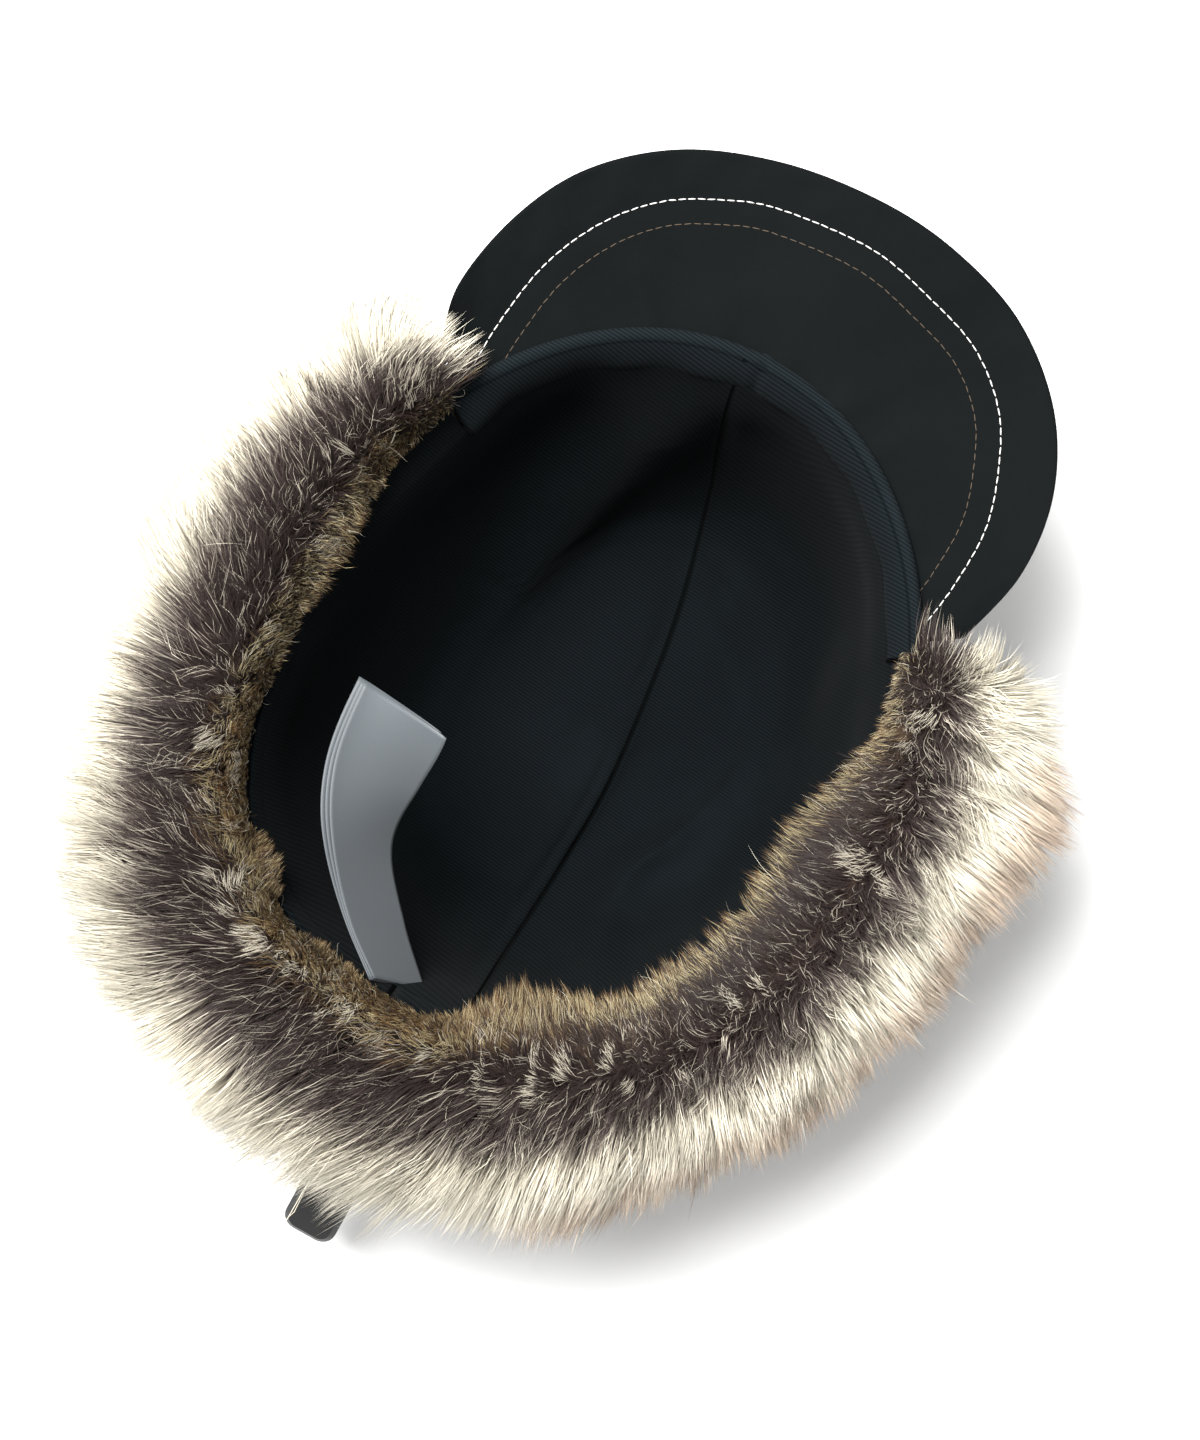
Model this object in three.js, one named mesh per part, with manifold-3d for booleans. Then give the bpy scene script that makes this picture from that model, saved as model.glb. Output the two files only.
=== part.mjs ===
// An earflap cap lying on its crown with its mouth up: a two-panel crown with a twill lining, a padded peak,
// a deep fur flap turned outwards round the sides and back, a care label and an adjuster with its toggle.
// Millimetres, +Z up, +Y towards the peak, origin in the middle of the flat patch that the crown rests on.
// Left and right are the wearer's: the cap lies upside down, so the wearer's left is at +X.
import * as THREE from 'three';
import { mergeVertices } from 'three/addons/utils/BufferGeometryUtils.js';
import Module from 'manifold-3d';

const wasm = await Module();
wasm.setup();

// Driving dimensions. Angles run round the rim from the middle of the peak, positive towards +X.
const DEG = Math.PI / 180;
const GAP = 0.3;
const SHELL_THICKNESS = 1.4;
const LINING_THICKNESS = 1.4;
const BAND_THICKNESS = 1.0;

const RIM_HEIGHT = 126;
const RIM_PITCH = 0.025; // share of the height by which the front of the rim stands higher than its middle
const BACK_SQUARENESS = 2.35; // exponent of the rim's superellipse at the back; the front is an ellipse
const BACK_SHIFT = -8; // sideways shift of the back of the rim

// The outside of the crown, from the patch it rests on up to the rim.
const CROWN_SECTIONS = [
  { height: 0, halfWidth: 36, halfLength: 48, shift: 7 },
  { height: 5, halfWidth: 48, halfLength: 61, shift: 6.5 },
  { height: 15, halfWidth: 59, halfLength: 73, shift: 6 },
  { height: 34, halfWidth: 69, halfLength: 85, shift: 5 },
  { height: 62, halfWidth: 77, halfLength: 94, shift: 3 },
  { height: 96, halfWidth: 83, halfLength: 100, shift: 1 },
  { height: RIM_HEIGHT, halfWidth: 88, halfLength: 106, shift: 0 },
];
// Soft dents in crown and lining together, inwards where depth is positive.
// Level is the share of the way up from the patch to the rim.
const DENTS = [
  { angle: -12, level: 0.7, angleSpread: 15, levelSpread: 0.2, depth: 5 },
  { angle: -30, level: 0.47, angleSpread: 18, levelSpread: 0.17, depth: 4 },
  { angle: -44, level: 0.74, angleSpread: 15, levelSpread: 0.2, depth: -4 },
  { angle: -68, level: 0.86, angleSpread: 20, levelSpread: 0.22, depth: 5 },
  { angle: 130, level: 0.6, angleSpread: 15, levelSpread: 0.24, depth: 4.5 },
  { angle: 62, level: 0.7, angleSpread: 14, levelSpread: 0.22, depth: 2.5 },
  { angle: -118, level: 0.6, angleSpread: 18, levelSpread: 0.3, depth: -3 },
];
const CROWN_AROUND = 36;
const BAND_LEVEL = 0.925; // the lower edge of the band inside the rim
const CROWN_LEVELS = [0, 0.13, 0.26, 0.38, 0.5, 0.62, 0.73, 0.83, BAND_LEVEL, 1];

// The seam between the left and right panels, seen from above, front to back.
const PANEL_SEAM = [
  { x: -9, y: 130 },
  { x: -6, y: 95 },
  { x: 2, y: 73 },
  { x: 12, y: 33 },
  { x: 18, y: -15 },
  { x: 18, y: -47 },
  { x: 15, y: -85 },
  { x: 10, y: -130 },
];

const BAND_FRONT_STEPS = 6; // the front band runs this many of the crown's steps to each side of the middle

const PEAK_THICKNESS = 3.6;
const PEAK_EDGE_THICKNESS = 2.2;
const PEAK_LEVEL = 0.975; // where the peak's inner edge is sewn to the crown
const PEAK_RISE = 9; // how far the peak's front edge stands above its inner edge
const PEAK_SIDE_RISE = 4;
const PEAK_WAVE = { height: 1.6, count: 3.5 };
// The peak's outer edge: where it lies for each angle at which it leaves the rim.
const PEAK_EDGE = [
  { angle: -57, x: -83, y: 64 },
  { angle: -51, x: -87.5, y: 82 },
  { angle: -42, x: -83, y: 106 },
  { angle: -31, x: -71.5, y: 127.5 },
  { angle: -20, x: -51, y: 145.5 },
  { angle: -9, x: -25, y: 156 },
  { angle: 1, x: 3, y: 159.5 },
  { angle: 11, x: 29, y: 157.5 },
  { angle: 21, x: 54, y: 149.5 },
  { angle: 32, x: 74, y: 133 },
  { angle: 43, x: 86, y: 111 },
  { angle: 52, x: 89, y: 87 },
  { angle: 57, x: 83.5, y: 64 },
];
const PEAK_ACROSS = 26;
const PEAK_OUT = 4;

const FLAP_THICKNESS = 2;
const FLAP_FRONT_ANGLE = 59; // at the rim
const FLAP_FRONT_SWEEP = 10; // how many degrees further back the front edge lies at the free edge
// The flap in section: how far out from the rim, and how far up from it, its middle lies.
const FLAP_SECTION = [
  { out: -0.4, up: 1 },
  { out: 4, up: 5.4 },
  { out: 9, up: 5.6 },
  { out: 13.5, up: 1 },
  { out: 17.5, up: -12 },
  { out: 21, up: -34 },
  { out: 25, up: -56 },
  { out: 28, up: -76 },
];
// How deep the flap hangs: full over the ears, shallower at its front corner and at the back.
const FLAP_DEPTHS = [
  { share: 0, depth: 0.6 },
  { share: 0.2, depth: 0.96 },
  { share: 0.45, depth: 1 },
  { share: 0.8, depth: 0.9 },
  { share: 1, depth: 0.88 },
];
const FLAP_AROUND = 10;
const FLAP_DOWN = 6;

// The fur from the rim's edge to the flap's free edge: the thickness of its dense ground, and the locks that
// stand in it. Lean is how far a lock's tip points out of the cap, upwards and towards the front.
const FUR_ROWS = [
  { across: 0.03, ground: 3, length: 12, thickness: 7, out: -0.8, up: 0.6 },
  { across: 0.17, ground: 7, length: 14, thickness: 12, out: -0.3, up: 1 },
  { across: 0.31, ground: 9, length: 22, thickness: 15, out: 0.7, up: 0.7 },
  { across: 0.45, ground: 10, length: 27, thickness: 16, out: 0.9, up: 0.1 },
  { across: 0.6, ground: 10, length: 29, thickness: 17, out: 0.8, up: -0.35 },
  { across: 0.76, ground: 9, length: 29, thickness: 16, out: 0.7, up: -0.55 },
  { across: 0.92, ground: 7, length: 25, thickness: 13, out: 0.65, up: -0.7 },
];
const LOCKS_AROUND = 9;
const LOCK_WIDTH = 33;
const LOCK_SUNK = 6; // how deep a lock's root stands in the ground
const LOCK_BELLY = 0.3; // where a lock is widest, as a share of its length
const ROLL_LENGTHS = { left: 1.45, right: 0.9 }; // the locks that lean in over the mouth, on each side
const LOCK_FRONT_LEAN = 0.7; // how far the foremost locks lean towards the peak

const LABEL_WIDTH = 28;
const LABEL_LEAVES = 3;
const LABEL_LEAF_THICKNESS = 0.3;
const LABEL_LEAF_PITCH = 0.65;
// The label's middle line from its sewn end to its free end.
// Yaw turns it seen from above, and tilt lifts its -X edge.
const LABEL_PATH = [
  { x: -10, y: -97.5, z: 112, yaw: 4, tilt: 38 },
  { x: -22, y: -86, z: 110, yaw: 14, tilt: 52 },
  { x: -36, y: -69, z: 110, yaw: 27, tilt: 56 },
  { x: -42, y: -50, z: 113, yaw: 14, tilt: 30 },
  { x: -43.5, y: -29, z: 119, yaw: -6, tilt: 4 },
];

const TAB = { width: 11, thickness: 1.6, length: 26, x: 3, droop: 9 };
const TOGGLE = { width: 17, length: 25, thickness: 8, corner: 4, slope: -20 };

const MATERIALS = {
  shell: { color: '#15181a', roughness: 0.8 },
  lining: { color: '#141d24', roughness: 0.92 },
  fur: { color: '#9a8673', roughness: 0.85 },
  label: { color: '#c6cdd0', roughness: 0.6 },
  webbing: { color: '#17181a', roughness: 0.85 },
  toggle: { color: '#1c1d1c', roughness: 0.55 },
};

// A smooth curve through a table's rows, read by one column or by the share of the way along.
function tableCurve(rows, columns) {
  const points = rows.map((row) => new THREE.Vector3(...columns.map((name) => row[name])));
  return new THREE.CatmullRomCurve3(points, false, 'catmullrom', 0.5);
}

// The value of one column where another column has the given value, in a straight line between rows.
function readTable(rows, key, at, column) {
  const next = rows.findIndex((row) => row[key] >= at);
  if (next <= 0) return rows[next === 0 ? 0 : rows.length - 1][column];
  const [low, high] = [rows[next - 1], rows[next]];
  const share = (at - low[key]) / (high[key] - low[key]);
  return THREE.MathUtils.lerp(low[column], high[column], THREE.MathUtils.smoothstep(share, 0, 1));
}

// A closed geometry from points and triangles, turned so that its faces point out.
function closedGeometry(points, triangles) {
  const volume = triangles.reduce((sum, [a, b, c]) => {
    const cross = new THREE.Vector3().crossVectors(points[b], points[c]);
    return sum + points[a].dot(cross);
  }, 0);
  const index = triangles.flatMap(([a, b, c]) => (volume > 0 ? [a, b, c] : [a, c, b]));
  const geometry = new THREE.BufferGeometry().setFromPoints(points);
  geometry.setIndex(index);
  geometry.computeVertexNormals();
  return geometry;
}

// A sheet with thickness: front(u, v) and back(u, v) give its two faces over a grid of steps.
function sheetGeometry(front, back, uSteps, vSteps) {
  const points = [];
  const triangles = [];
  const row = vSteps + 1;
  const backStart = (uSteps + 1) * row;
  for (const face of [front, back]) {
    for (let i = 0; i <= uSteps; i++) {
      for (let j = 0; j <= vSteps; j++) points.push(face(i / uSteps, j / vSteps));
    }
  }
  const quad = (a, b, c, d) => triangles.push([a, b, c], [a, c, d]);
  for (let i = 0; i < uSteps; i++) {
    for (let j = 0; j < vSteps; j++) {
      const a = i * row + j;
      quad(a, a + row, a + row + 1, a + 1);
      quad(backStart + a, backStart + a + 1, backStart + a + row + 1, backStart + a + row);
    }
    for (const [j, turned] of [[0, false], [vSteps, true]]) {
      const a = i * row + j;
      const corners = [a, backStart + a, backStart + a + row, a + row];
      quad(...(turned ? corners.reverse() : corners));
    }
  }
  for (let j = 0; j < vSteps; j++) {
    for (const [i, turned] of [[0, true], [uSteps, false]]) {
      const a = i * row + j;
      const corners = [a, backStart + a, backStart + a + 1, a + 1];
      quad(...(turned ? corners.reverse() : corners));
    }
  }
  return closedGeometry(points, triangles);
}

// A bowl with thickness: outer(turn, level) and inner(turn, level), from its flat bottom to its rim.
function bowlGeometry(outer, inner, around, levels) {
  const rings = levels.length - 1;
  const points = [];
  const triangles = [];
  const starts = [];
  for (const face of [outer, inner]) {
    starts.push(points.length);
    for (const level of levels) {
      for (let i = 0; i < around; i++) points.push(face((i / around) * 2 * Math.PI, level));
    }
    points.push(face(0, 0).setX(CROWN_SECTIONS[0].shift).setY(0));
  }
  const [outerStart, innerStart] = starts;
  for (const [start, facing] of [[outerStart, 1], [innerStart, -1]]) {
    const add = (a, b, c) => triangles.push(facing > 0 ? [a, b, c] : [a, c, b]);
    const centre = start + (rings + 1) * around;
    for (let i = 0; i < around; i++) {
      const next = (i + 1) % around;
      add(centre, start + i, start + next);
      for (let j = 0; j < rings; j++) {
        const [low, high] = [start + j * around, start + (j + 1) * around];
        add(low + i, high + i, high + next);
        add(low + i, high + next, low + next);
      }
    }
  }
  const [outerRim, innerRim] = starts.map((start) => start + rings * around);
  for (let i = 0; i < around; i++) {
    const next = (i + 1) % around;
    triangles.push([outerRim + i, innerRim + i, innerRim + next]);
    triangles.push([outerRim + i, innerRim + next, outerRim + next]);
  }
  return closedGeometry(points, triangles);
}

function toSolid(geometry) {
  const bare = geometry.clone();
  bare.deleteAttribute('normal');
  bare.deleteAttribute('uv');
  const merged = mergeVertices(bare, 1e-3);
  return new wasm.Manifold(new wasm.Mesh({
    numProp: 3,
    vertProperties: new Float32Array(merged.attributes.position.array),
    triVerts: new Uint32Array(merged.index.array),
  }));
}

function toGeometry(solid) {
  const mesh = solid.getMesh();
  const geometry = new THREE.BufferGeometry();
  geometry.setAttribute('position', new THREE.BufferAttribute(mesh.vertProperties, 3));
  geometry.setIndex(new THREE.BufferAttribute(mesh.triVerts, 1));
  geometry.computeVertexNormals();
  return geometry;
}

// A point on a ring of the crown, seen from above: an ellipse in front, squarer and shifted at the back.
function ringPoint(turn, halfWidth, halfLength) {
  const [sine, cosine] = [Math.sin(turn), Math.cos(turn)];
  const backness = Math.max(0, -cosine);
  const power = 2 / (2 + (BACK_SQUARENESS - 2) * Math.min(1, 2 * backness));
  return new THREE.Vector2(
    Math.sign(sine) * Math.abs(sine) ** power * halfWidth + BACK_SHIFT * backness ** 2,
    Math.sign(cosine) * Math.abs(cosine) ** power * halfLength,
  );
}

const crownProfile = tableCurve(CROWN_SECTIONS, ['halfWidth', 'halfLength', 'height']);
const crownShift = tableCurve(CROWN_SECTIONS, ['shift', 'height', 'height']);

function dentDepth(turn, level) {
  const angle = THREE.MathUtils.euclideanModulo(turn / DEG + 180, 360) - 180;
  return DENTS.reduce((sum, dent) => {
    const away = (THREE.MathUtils.euclideanModulo(angle - dent.angle + 180, 360) - 180) / dent.angleSpread;
    const off = (level - dent.level) / dent.levelSpread;
    return sum + dent.depth * Math.exp(-(away ** 2) - off ** 2);
  }, 0) * THREE.MathUtils.smoothstep(level, 0.05, 0.3) * (1 - THREE.MathUtils.smoothstep(level, 0.93, 1));
}

// A point on the outside of the crown, before its wall has any thickness.
function crownPoint(turn, level) {
  const size = crownProfile.getPoint(level);
  const plan = ringPoint(turn, size.x - dentDepth(turn, level), size.y - dentDepth(turn, level));
  const height = size.z * (1 + RIM_PITCH * Math.cos(turn));
  return new THREE.Vector3(plan.x + crownShift.getPoint(level).x, plan.y, height);
}

function crownNormal(turn, level) {
  if (level < 1e-6) return new THREE.Vector3(0, 0, -1);
  const step = 0.01;
  const along = crownPoint(turn + step, level).sub(crownPoint(turn - step, level));
  const [above, below] = [Math.min(1, level + step), Math.max(0, level - step)];
  const up = crownPoint(turn, above).sub(crownPoint(turn, below));
  return along.cross(up).normalize().negate();
}

// The crown's surface moved inwards by an inset, and down from the rim by a drop.
function insetPoint(turn, level, inset) {
  return crownPoint(turn, level).addScaledVector(crownNormal(turn, level), -inset);
}

// Half of space to one side of the panel seam, with half the gap between the panels left out.
function seamCutter(side) {
  const reach = 220;
  const line = new THREE.SplineCurve(PANEL_SEAM.map((row) => new THREE.Vector2(row.x, row.y)));
  const edge = line.getPoints(24).map((point) => point.add(new THREE.Vector2((side * GAP) / 2, 0)));
  const shape = new THREE.Shape([
    ...edge,
    new THREE.Vector2(side * reach, edge.at(-1).y),
    new THREE.Vector2(side * reach, edge[0].y),
  ]);
  const block = new THREE.ExtrudeGeometry(shape, { depth: 2 * reach, bevelEnabled: false, steps: 1 });
  return toSolid(block.translate(0, 0, -reach / 2));
}

function panelGeometries(outerInset, innerInset) {
  const wall = toSolid(bowlGeometry(
    (turn, level) => insetPoint(turn, level, outerInset),
    (turn, level) => insetPoint(turn, level, innerInset),
    CROWN_AROUND,
    CROWN_LEVELS,
  ));
  return {
    left: toGeometry(wall.intersect(seamCutter(1))),
    right: toGeometry(wall.intersect(seamCutter(-1))),
  };
}

const liningInset = SHELL_THICKNESS + GAP;
const bandInset = liningInset + LINING_THICKNESS + GAP;

// A strip inside the rim. It runs between two of the crown's steps and stops just short of both.
function bandGeometry(fromStep, toStep) {
  const short = GAP / 2 / CROWN_SECTIONS.at(-1).halfWidth;
  const steps = toStep - fromStep;
  const face = (inset) => (u, v) => {
    const inward = u === 0 ? short : u === 1 ? -short : 0;
    const turn = ((fromStep + u * steps) / CROWN_AROUND) * 2 * Math.PI + inward;
    return insetPoint(turn, v < 1 ? BAND_LEVEL : 1, inset);
  };
  return sheetGeometry(face(bandInset), face(bandInset + BAND_THICKNESS), steps, 1);
}

function peakGeometry() {
  const outline = new THREE.SplineCurve(PEAK_EDGE.map((row) => new THREE.Vector2(row.x, row.y)));
  const rimAngles = new THREE.SplineCurve(PEAK_EDGE.map((row, i) => new THREE.Vector2(i, row.angle)));
  const middle = (u, v) => {
    const turn = rimAngles.getPoint(u).y * DEG;
    const inner = insetPoint(turn, PEAK_LEVEL, -2.6 * GAP);
    const outer = outline.getPoint(u);
    const side = 2 * u - 1;
    const wave = PEAK_WAVE.height * Math.sin(PEAK_WAVE.count * Math.PI * side + 0.6);
    const rise = (PEAK_RISE + PEAK_SIDE_RISE * side ** 2 + wave) * v ** 1.3;
    return new THREE.Vector3(
      THREE.MathUtils.lerp(inner.x, outer.x, v),
      THREE.MathUtils.lerp(inner.y, outer.y, v),
      inner.z + rise,
    );
  };
  const half = (v) => THREE.MathUtils.lerp(PEAK_THICKNESS, PEAK_EDGE_THICKNESS, v ** 3) / 2;
  const face = (side) => (u, v) => middle(u, v).add(new THREE.Vector3(0, 0, side * half(v)));
  return sheetGeometry(face(1), face(-1), PEAK_ACROSS, PEAK_OUT);
}

const flapSection = tableCurve(FLAP_SECTION, ['out', 'up', 'up']);
const BACK_GAP_ANGLE = GAP / 2 / (RIM_HEIGHT * DEG);

// The flap's middle. Around runs from its front edge to the back, and down from the rim to the free edge.
function flapMiddle(side, around, down) {
  const front = FLAP_FRONT_ANGLE + FLAP_FRONT_SWEEP * down;
  const turn = side * THREE.MathUtils.lerp(front, 180 - BACK_GAP_ANGLE, around) * DEG;
  const rim = crownPoint(turn, 1);
  const outward = crownNormal(turn, 1).setZ(0).normalize();
  const held = THREE.MathUtils.clamp(down, 0, 1);
  const past = (down - held) * flapSection.getLength();
  const section = flapSection.getPoint(held).addScaledVector(flapSection.getTangent(held), past);
  const depth = section.y < 0 ? readTable(FLAP_DEPTHS, 'share', around, 'depth') : 1;
  return rim.addScaledVector(outward, section.x).add(new THREE.Vector3(0, 0, section.y * depth));
}

function flapNormal(side, around, down) {
  const step = 0.01;
  const along = flapMiddle(side, Math.min(1, around + step), down)
    .sub(flapMiddle(side, Math.max(0, around - step), down));
  const fall = flapMiddle(side, around, down + step).sub(flapMiddle(side, around, down - step));
  return along.cross(fall).normalize().multiplyScalar(side);
}

function flapPoint(side, around, down, offset) {
  return flapMiddle(side, around, down).addScaledVector(flapNormal(side, around, down), offset);
}

function flapGeometry(side) {
  const face = (offset) => (u, v) => flapPoint(side, u, v, offset);
  return sheetGeometry(face(FLAP_THICKNESS / 2), face(-FLAP_THICKNESS / 2), FLAP_AROUND, FLAP_DOWN);
}

// One lock of fur: a flat tuft that swells from its root and tapers to its tip, wide along its row.
function lockGeometry(root, direction, along, length, thickness) {
  const tuft = new THREE.OctahedronGeometry(1);
  const position = tuft.attributes.position;
  const belly = LOCK_BELLY * length;
  for (let k = 0; k < position.count; k++) {
    const y = position.getY(k);
    position.setY(k, belly + y * (y > 0 ? length - belly : belly + LOCK_SUNK));
  }
  tuft.scale(LOCK_WIDTH / 2, 1, thickness / 2);
  const depth = new THREE.Vector3().crossVectors(along, direction).normalize();
  const width = new THREE.Vector3().crossVectors(direction, depth);
  const frame = new THREE.Matrix4().makeBasis(width, direction, depth).setPosition(root);
  return tuft.applyMatrix4(frame);
}

// What the fur keeps clear of: the flap it grows on, the crown's rim and the adjuster's tab.
function furRooms(side) {
  const backing = FLAP_THICKNESS / 2 + GAP;
  // The flap's own grid with one more step past each of its edges.
  const face = (offset) => (u, v) => {
    const around = (Math.round(u * (FLAP_AROUND + 2)) - 1) / FLAP_AROUND;
    const down = (Math.round(v * (FLAP_DOWN + 2)) - 1) / FLAP_DOWN;
    return flapPoint(
      side,
      THREE.MathUtils.clamp(around, -0.03, 1.01),
      THREE.MathUtils.clamp(down, -0.05, 1.05),
      offset,
    );
  };
  const flap = sheetGeometry(face(backing), face(-9), FLAP_AROUND + 2, FLAP_DOWN + 2);
  const rim = bowlGeometry(
    (turn, level) => insetPoint(turn, level, -GAP),
    (turn, level) => insetPoint(turn, level, bandInset + BAND_THICKNESS + GAP),
    CROWN_AROUND,
    CROWN_LEVELS,
  );
  const tab = new THREE.BoxGeometry(TAB.width + 2 * GAP, 60, 14);
  tab.translate(TAB.x, tabStart.y - 29, tabStart.z - 3);
  const otherSide = new THREE.BoxGeometry(80, 140, 200);
  otherSide.translate(BACK_SHIFT - side * (40 - GAP / 2), -130, 60);
  return [flap, rim.translate(0, 0, GAP), tab, otherSide].map(toSolid);
}

function furGeometry(side) {
  const backing = FLAP_THICKNESS / 2 + GAP;
  const thickness = (v) => readTable(FUR_ROWS, 'across', v, 'ground');
  const ground = sheetGeometry(
    (u, v) => flapPoint(side, u, v, backing + thickness(v)),
    (u, v) => flapPoint(side, u, v, backing),
    FLAP_AROUND,
    FLAP_DOWN,
  );
  const parts = [toSolid(ground)];
  const rollLength = side > 0 ? ROLL_LENGTHS.left : ROLL_LENGTHS.right;
  FUR_ROWS.forEach((row, j) => {
    const rowLength = row.length * (row.out < 0 ? rollLength : 1);
    for (let i = 0; i <= LOCKS_AROUND; i++) {
      const around = Math.min(1, (i + 0.35 + 0.5 * (j % 2)) / (LOCKS_AROUND + 0.35));
      const root = flapPoint(side, around, row.across, backing + row.ground);
      const outward = flapNormal(side, around, 0.5).setZ(0).normalize();
      const along = new THREE.Vector3(-outward.y, outward.x, 0);
      const direction = outward.multiplyScalar(row.out).setZ(row.up);
      direction.y += LOCK_FRONT_LEAN * Math.max(0, 1 - around / 0.16);
      direction.x += 0.12 * Math.sin(7 * i + 4 * j);
      const length = rowLength * (1 + 0.13 * Math.sin(5 * i + 3 * j));
      parts.push(toSolid(lockGeometry(root, direction.normalize(), along, length, row.thickness)));
    }
  });
  const cleared = wasm.Manifold.union(parts).subtract(wasm.Manifold.union(furRooms(side)));
  const [body] = cleared.decompose().sort((a, b) => b.volume() - a.volume());
  return toGeometry(body);
}

function labelGeometry(leaf) {
  const line = tableCurve(LABEL_PATH, ['x', 'y', 'z']);
  const turns = tableCurve(LABEL_PATH, ['yaw', 'tilt', 'tilt']);
  const face = (offset) => (u, v) => {
    const centre = line.getPoint(u);
    const { x: yaw, y: tilt } = turns.getPoint(u);
    const across = new THREE.Vector3(
      Math.cos(yaw * DEG) * Math.cos(tilt * DEG),
      Math.sin(yaw * DEG) * Math.cos(tilt * DEG),
      -Math.sin(tilt * DEG),
    );
    const along = line.getTangent(u);
    const normal = new THREE.Vector3().crossVectors(across, along).normalize();
    return centre.addScaledVector(across, (v - 0.5) * LABEL_WIDTH).addScaledVector(normal, offset);
  };
  const top = -leaf * LABEL_LEAF_PITCH;
  return sheetGeometry(face(top), face(top - LABEL_LEAF_THICKNESS), 9, 2);
}

// Where the adjuster's tab leaves the middle of the flap's free edge at the back.
const tabStart = flapMiddle(1, 1, 1).add(new THREE.Vector3(0, -FLAP_THICKNESS / 2 - GAP, 0));

function tabGeometry() {
  const face = (side) => (u, v) => new THREE.Vector3(
    TAB.x + (v - 0.5) * TAB.width,
    tabStart.y - u * TAB.length,
    tabStart.z + TAB.thickness - TAB.droop * u ** 2 + (side * TAB.thickness) / 2,
  );
  return sheetGeometry(face(1), face(-1), 5, 1);
}

// A plain toggle: a thick plate with round corners and softened edges.
function toggleGeometry() {
  const { width, length, corner, thickness } = TOGGLE;
  const bevel = 1.6;
  const [right, top] = [width / 2 - bevel, length - 2 * bevel];
  const radius = corner - bevel / 2;
  const outline = new THREE.Shape();
  outline.absarc(right - radius, top - radius, radius, 0, Math.PI / 2);
  outline.absarc(-right + radius, top - radius, radius, Math.PI / 2, Math.PI);
  outline.absarc(-right + radius, radius, radius, Math.PI, 1.5 * Math.PI);
  outline.absarc(right - radius, radius, radius, 1.5 * Math.PI, 2 * Math.PI);
  const plate = new THREE.ExtrudeGeometry(outline, {
    depth: thickness - 2 * bevel,
    bevelThickness: bevel,
    bevelSize: bevel,
    bevelSegments: 1,
    curveSegments: 3,
  });
  return plate.translate(0, bevel, -thickness / 2 + bevel).rotateX(Math.PI);
}

const cap = new THREE.Group();

function addPiece(name, materialName, geometry) {
  const material = new THREE.MeshStandardMaterial({ ...MATERIALS[materialName], metalness: 0 });
  const mesh = new THREE.Mesh(geometry, material);
  mesh.name = name;
  cap.add(mesh);
  return mesh;
}

const crown = panelGeometries(0, SHELL_THICKNESS);
const lining = panelGeometries(liningInset, liningInset + LINING_THICKNESS);
for (const side of ['left', 'right']) {
  addPiece(`crown_${side}`, 'shell', crown[side]);
  addPiece(`lining_${side}`, 'lining', lining[side]);
}

addPiece('band_front', 'lining', bandGeometry(-BAND_FRONT_STEPS, BAND_FRONT_STEPS));
addPiece('band_left', 'lining', bandGeometry(BAND_FRONT_STEPS, CROWN_AROUND / 2));
addPiece('band_right', 'lining', bandGeometry(-CROWN_AROUND / 2, -BAND_FRONT_STEPS));

addPiece('peak', 'shell', peakGeometry());

for (const [name, side] of [['left', 1], ['right', -1]]) {
  addPiece(`ear_flap_${name}`, 'shell', flapGeometry(side));
  addPiece(`fur_${name}`, 'fur', furGeometry(side));
}

for (let leaf = 0; leaf < LABEL_LEAVES; leaf++) {
  addPiece(`care_label_${leaf + 1}`, 'label', labelGeometry(leaf));
}

addPiece('adjuster_tab', 'webbing', tabGeometry());
const toggle = addPiece('toggle', 'toggle', toggleGeometry());
toggle.rotation.x = -TOGGLE.slope * DEG;
toggle.position.set(TAB.x, tabStart.y - TAB.length - GAP - 0.4, tabStart.z + TAB.thickness - TAB.droop);

export default cap;
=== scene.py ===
import logging
import math
from dataclasses import dataclass
from enum import Enum
from typing import Any, Callable, Sequence

import bmesh
import bpy
import numpy as np
from mathutils import Matrix, Vector, kdtree


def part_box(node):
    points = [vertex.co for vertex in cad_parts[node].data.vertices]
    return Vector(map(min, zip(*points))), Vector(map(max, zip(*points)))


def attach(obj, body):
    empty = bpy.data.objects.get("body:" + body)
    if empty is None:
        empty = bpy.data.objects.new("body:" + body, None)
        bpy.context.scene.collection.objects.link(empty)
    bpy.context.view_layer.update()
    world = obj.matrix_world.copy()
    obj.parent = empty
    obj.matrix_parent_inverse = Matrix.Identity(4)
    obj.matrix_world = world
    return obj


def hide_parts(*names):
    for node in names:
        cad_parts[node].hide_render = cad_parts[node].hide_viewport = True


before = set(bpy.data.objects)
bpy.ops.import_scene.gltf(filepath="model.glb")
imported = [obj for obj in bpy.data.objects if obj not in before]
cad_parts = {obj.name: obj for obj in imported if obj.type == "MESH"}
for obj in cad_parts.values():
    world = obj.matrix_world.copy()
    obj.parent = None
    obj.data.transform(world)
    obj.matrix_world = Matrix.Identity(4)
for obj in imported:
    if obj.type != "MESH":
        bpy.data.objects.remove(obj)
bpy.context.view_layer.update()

logging.basicConfig(level=logging.INFO, format="%(message)s")
LOG = logging.getLogger("earflap_cap")

Array = np.ndarray
MM = 0.001
DEG = math.pi / 180
SEED = 5
MERGED = 0.01  # mm, nearer than which two points are one
WAVE_WIDTH = math.pi / 10  # of one band of the wave texture at a scale of 1


class Side(Enum):
    """The wearer's side, with its sign along X."""

    LEFT = 1
    RIGHT = -1


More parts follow.
